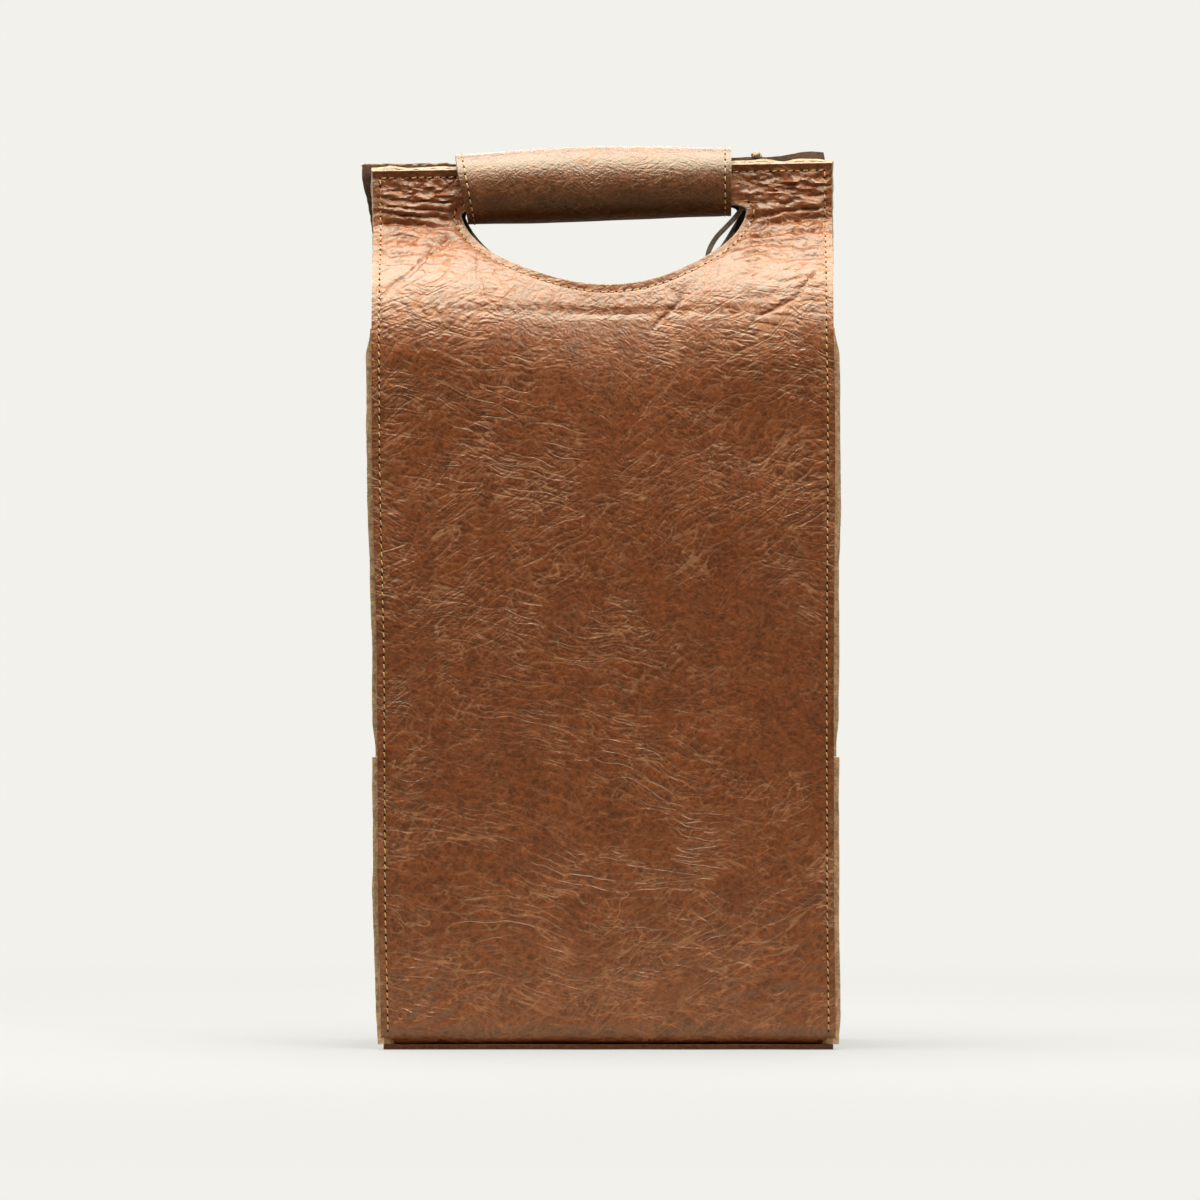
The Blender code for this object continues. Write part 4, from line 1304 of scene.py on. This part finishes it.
def sew(bm, route, sizes, slant_deg=10.0):
    """Adds a stitch and a dark bead of painted shade for a needle hole a pitch to bm, along a route of (point,
    outward) pairs.
    """
    beads = [make_bead(index) for index in (0, 1)]
    lengths = [0.0]
    for (a, _), (b, _) in zip(route, route[1:]):
        lengths.append(lengths[-1] + (b - a).length)
    count = max(1, round(lengths[-1] / sizes.stitch_pitch))
    pitch = lengths[-1] / count

    def seat(length):
        i = min(len(route) - 2, max(0, sum(1 for x in lengths[1:] if x < length)))
        share = (length - lengths[i]) / max(1e-9, lengths[i + 1] - lengths[i])
        place = route[i][0].lerp(route[i + 1][0], share)
        out = route[i][1].lerp(route[i + 1][1], share).normalized()
        along = (route[i + 1][0] - route[i][0]).normalized()
        return place, out, along

    def bead(length, stretch, lift, slant, index):
        place, out, along = seat(length)
        beside = out.cross(along).normalized()
        along = beside.cross(out)
        turn = Matrix((along, beside, out)).transposed().to_4x4()
        spin = Matrix.Rotation(math.radians(slant), 4, "Z")
        matrix = Matrix.Translation(place + out * lift) @ turn @ spin @ Matrix.Diagonal((*stretch, 1.0))
        mesh = beads[index].copy()
        mesh.transform(matrix)
        bm.from_mesh(mesh)
        bpy.data.meshes.remove(mesh)

    for i in range(count):
        thread = (sizes.stitch_length, sizes.thread, 1.1 * sizes.thread)
        bead((i + 0.5) * pitch, thread, 0.05 * MM, slant_deg, 0)
    # Each needle hole is a dark bead on the leather's face: painted shade for the hole.
    for i in range(count + 1):
        bead(i * pitch, NEEDLE_HOLE, 0.0, 0.0, 1)
    for mesh in beads:
        bpy.data.meshes.remove(mesh)


class OBJECT_OT_case_stitching(Operator):
    """Sews the seams, the top edges, the hand hole's rim, the wrap's ends and the cradle's laps"""

    bl_idname = "object.case_stitching"
    bl_label = "Stitching"

    def execute(self, context):
        sizes = context.scene.case_sizes
        # The second look is the needle holes' painted shade.
        looks = finishes(context, "thread", "hole")
        for side, label in ((-1, "front"), (1, "back")):
            hide = Hide(side, sizes)
            bm = bmesh.new()
            for route in self.panel_routes(hide, sizes):
                sew(bm, [hide.seat(x, length) for x, length in route], sizes)
            thread = make_piece(f"{label}_stitching", bm, looks)
            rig.blend(thread, "case", f"{label}_top", **shoulder(side))
        near, far = 90 - HINGE_SPAN_DEG, 90 + HINGE_SPAN_DEG
        first, last = WRAP_SEAM_DEG
        for label, start, end in (("flap", far, last), ("back", first, near), ("bend", near, far)):
            bm = bmesh.new()
            for left in (True, False):
                sew(bm, [self.wrap_seat(left, angle) for angle in sample(start, end, 60)], sizes, 4.0)
            thread = make_piece(f"wrap_{label}_stitching", bm, looks)
            if label == "bend":
                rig.blend(thread, "back_top", "flap", **wrap_hinge())
            else:
                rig.ride(thread, "flap" if label == "flap" else "back_top")
        bm = bmesh.new()
        for hand in (-1, 1):
            for drop in (2.4 * MM, 5.4 * MM):
                sew(bm, self.lap_route(hand, CRADLE_TOP - drop), sizes)
        laps = make_piece("lap_stitching", bm, looks)
        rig.ride(laps, "case")
        return {"FINISHED"}

    def panel_routes(self, hide, sizes):
        """The lines of stitches on a panel, as (across, length) points on the flat leather."""
        seam = HALF_WIDTH - sizes.seam_margin
        row = hide.total - sizes.seam_margin
        foot = FOOT_TURN + FOOT_ROLL + 2 * MM
        routes = [[(hand * seam, length) for length in sample(foot, row, 240)] for hand in (-1, 1)]
        routes.append([(x, row) for x in sample(-seam, WRAP_LEFT + 3 * MM, 24)])
        routes.append([(x, row) for x in sample(WRAP_RIGHT - 3 * MM, seam, 24)])
        bowl = []
        for i in range(0, HOLE_POINTS, 3):
            here, after = hide.outline[i], hide.outline[(i + 1) % HOLE_POINTS]
            along = (after - here).normalized()
            out = Vector((-along.y, along.x))
            spot = here + out * sizes.rim_margin
            if hide.in_hole(spot.x, spot.y):
                spot = here - out * sizes.rim_margin
            if spot.y < hide.hole_high - 3 * MM or abs(spot.x) > HOLE_HALF - 2 * MM:
                bowl.append((spot.x, spot.y))
        bowl.sort(key=lambda spot: math.atan2(spot[1] - hide.hole_high, spot[0]))
        return routes + [bowl]

    def wrap_seat(self, left, angle):
        x = wrap_start(angle) + WRAP_SEAM_MARGIN if left else WRAP_RIGHT - WRAP_SEAM_MARGIN
        place = wrap_point(x, angle)
        return place, (wrap_point(x, angle, MM) - place).normalized()

    def lap_route(self, hand, z):
        """(point, outward direction) pairs along the cradle's lap on the gusset at this height."""
        section = channel_section()
        route = []
        for length in sample(12 * MM, section.total - 12 * MM, 40):
            place = channel_point(section, hand, length, z, "cradle")
            along = channel_point(section, hand, length + MM, z, "cradle") - place
            up = channel_point(section, hand, length, z + MM, "cradle") - place
            out = along.cross(up).normalized()
            out = out if out.x * hand > 0 else -out
            route.append((place + out * GUSSET_LAYER / 2, out))
        return route


class OBJECT_OT_case_stage(Operator):
    """Sets the camera, the lamps, the floor and the pale surroundings"""

    bl_idname = "object.case_stage"
    bl_label = "Studio"

    def execute(self, context):
        colours = context.scene.case_colours
        context.scene.view_settings.view_transform = "Standard"
        self.add_camera(context)
        for lamp in LAMPS:
            self.add_lamp(*lamp)
        self.add_floor(colours.backdrop)
        self.add_world(context.scene, colours.backdrop)
        return {"FINISHED"}

    def add_camera(self, context):
        data = bpy.data.cameras.new("camera")
        camera = bpy.data.objects.new("camera", data)
        context.scene.collection.objects.link(camera)
        data.sensor_width = CAMERA_SENSOR
        data.lens = CAMERA_SENSOR * CAMERA_DISTANCE / CAMERA_FRAME
        data.clip_start, data.clip_end = 0.1, 50.0
        camera.location = (CAMERA_X, -HALF_DEPTH - CAMERA_DISTANCE, CAMERA_Z)
        camera.rotation_euler = (math.radians(90), 0, 0)
        context.scene.camera = camera

    def add_lamp(self, name, place, target, width, height, power):
        data = bpy.data.lights.new(name, "AREA")
        data.shape = "RECTANGLE"
        data.size, data.size_y, data.energy = width, height, power
        lamp = bpy.data.objects.new(name, data)
        bpy.context.scene.collection.objects.link(lamp)
        lamp.location = place
        lamp.rotation_euler = (Vector(target) - Vector(place)).to_track_quat("-Z", "Y").to_euler()

    def add_floor(self, pale):
        bm = bmesh.new()
        bmesh.ops.create_grid(bm, x_segments=1, y_segments=1, size=12.0)
        material = bpy.data.materials.new("studio floor")
        material.use_nodes = True
        tree = material.node_tree
        tree.nodes.clear()
        wire = Wire(tree)
        place = wire.make("ShaderNodeTexCoord", {}, "Object")
        reach = place.make("ShaderNodeVectorMath", {0: place}, "Value", operation="LENGTH")
        near = 1 - reach.step(0.25, 0.9)
        shade = near.blend((0.0, 0.0, 0.0, 1.0), rgba(pale, 0.22))
        lit = near.blend(rgba(pale), rgba(pale, 0.53))
        seen = wire.make("ShaderNodeAddShader", {
            0: wire.make("ShaderNodeEmission", {"Color": lit}),
            1: wire.make("ShaderNodeBsdfDiffuse", {"Color": shade})})
        bounce = (1 - reach.step(0.08, 0.28)).blend((0.08, 0.078, 0.072, 1.0), (0.46, 0.45, 0.42, 1.0))
        plain = wire.make("ShaderNodeBsdfDiffuse", {"Color": bounce})
        camera = wire.make("ShaderNodeLightPath", {}, "Is Camera Ray")
        shown = wire.make("ShaderNodeMixShader", {0: camera, 1: plain, 2: seen})
        output = tree.nodes.new("ShaderNodeOutputMaterial")
        tree.links.new(shown.socket, output.inputs["Surface"])
        floor = make_piece("floor", bm, [material])
        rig.stage(floor)

    def add_world(self, scene, pale):
        world = bpy.data.worlds.new("studio")
        scene.world = world
        world.use_nodes = True
        tree = world.node_tree
        background = tree.nodes["Background"]
        wire = Wire(tree)
        camera = wire.make("ShaderNodeLightPath", {}, "Is Camera Ray")
        through = wire.make("ShaderNodeLightPath", {}, "Is Transmission Ray")
        seen = camera.maths("MAXIMUM", camera, through)
        colour = seen.blend((0.05, 0.05, 0.05, 1.0), rgba(pale))
        tree.links.new(colour.socket, background.inputs["Color"])


class VIEW3D_PT_case(Panel):
    """Lists the case's pieces and its sizes and colours"""

    bl_idname = "VIEW3D_PT_case"
    bl_label = "Leather bottle case"
    bl_space_type = "VIEW_3D"
    bl_region_type = "UI"
    bl_category = "Case"

    def draw(self, context):
        layout = self.layout
        for operator in OPERATORS:
            layout.operator(operator.bl_idname)
        for group in (context.scene.case_sizes, context.scene.case_colours):
            column = layout.column()
            for name in group.__annotations__:
                column.prop(group, name)


OPERATORS = (
    OBJECT_OT_case_stage,
    OBJECT_OT_case_lace,
    OBJECT_OT_case_panels,
    OBJECT_OT_case_gussets,
    OBJECT_OT_case_inside,
    OBJECT_OT_case_wrap,
    OBJECT_OT_case_stitching,
)
CLASSES = (CaseSizes, CaseColours, *OPERATORS, VIEW3D_PT_case)


def register():
    for cls in CLASSES:
        bpy.utils.register_class(cls)
    bpy.types.Scene.case_sizes = PointerProperty(type=CaseSizes)
    bpy.types.Scene.case_colours = PointerProperty(type=CaseColours)


def unregister():
    del bpy.types.Scene.case_colours
    del bpy.types.Scene.case_sizes
    for cls in reversed(CLASSES):
        bpy.utils.unregister_class(cls)


def main():
    register()
    bpy.ops.object.case_stage()
    bpy.ops.object.case_lace()
    bpy.ops.object.case_panels()
    bpy.ops.object.case_gussets()
    bpy.ops.object.case_inside()
    bpy.ops.object.case_wrap()
    bpy.ops.object.case_stitching()
    with open("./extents.json", "w") as file:
        boxes = {"cad": CAD_BOX, "visual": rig.bounds()}
        json.dump({name: [list(corner) for corner in box] for name, box in boxes.items()}, file)


if __name__ == "__main__":
    main()
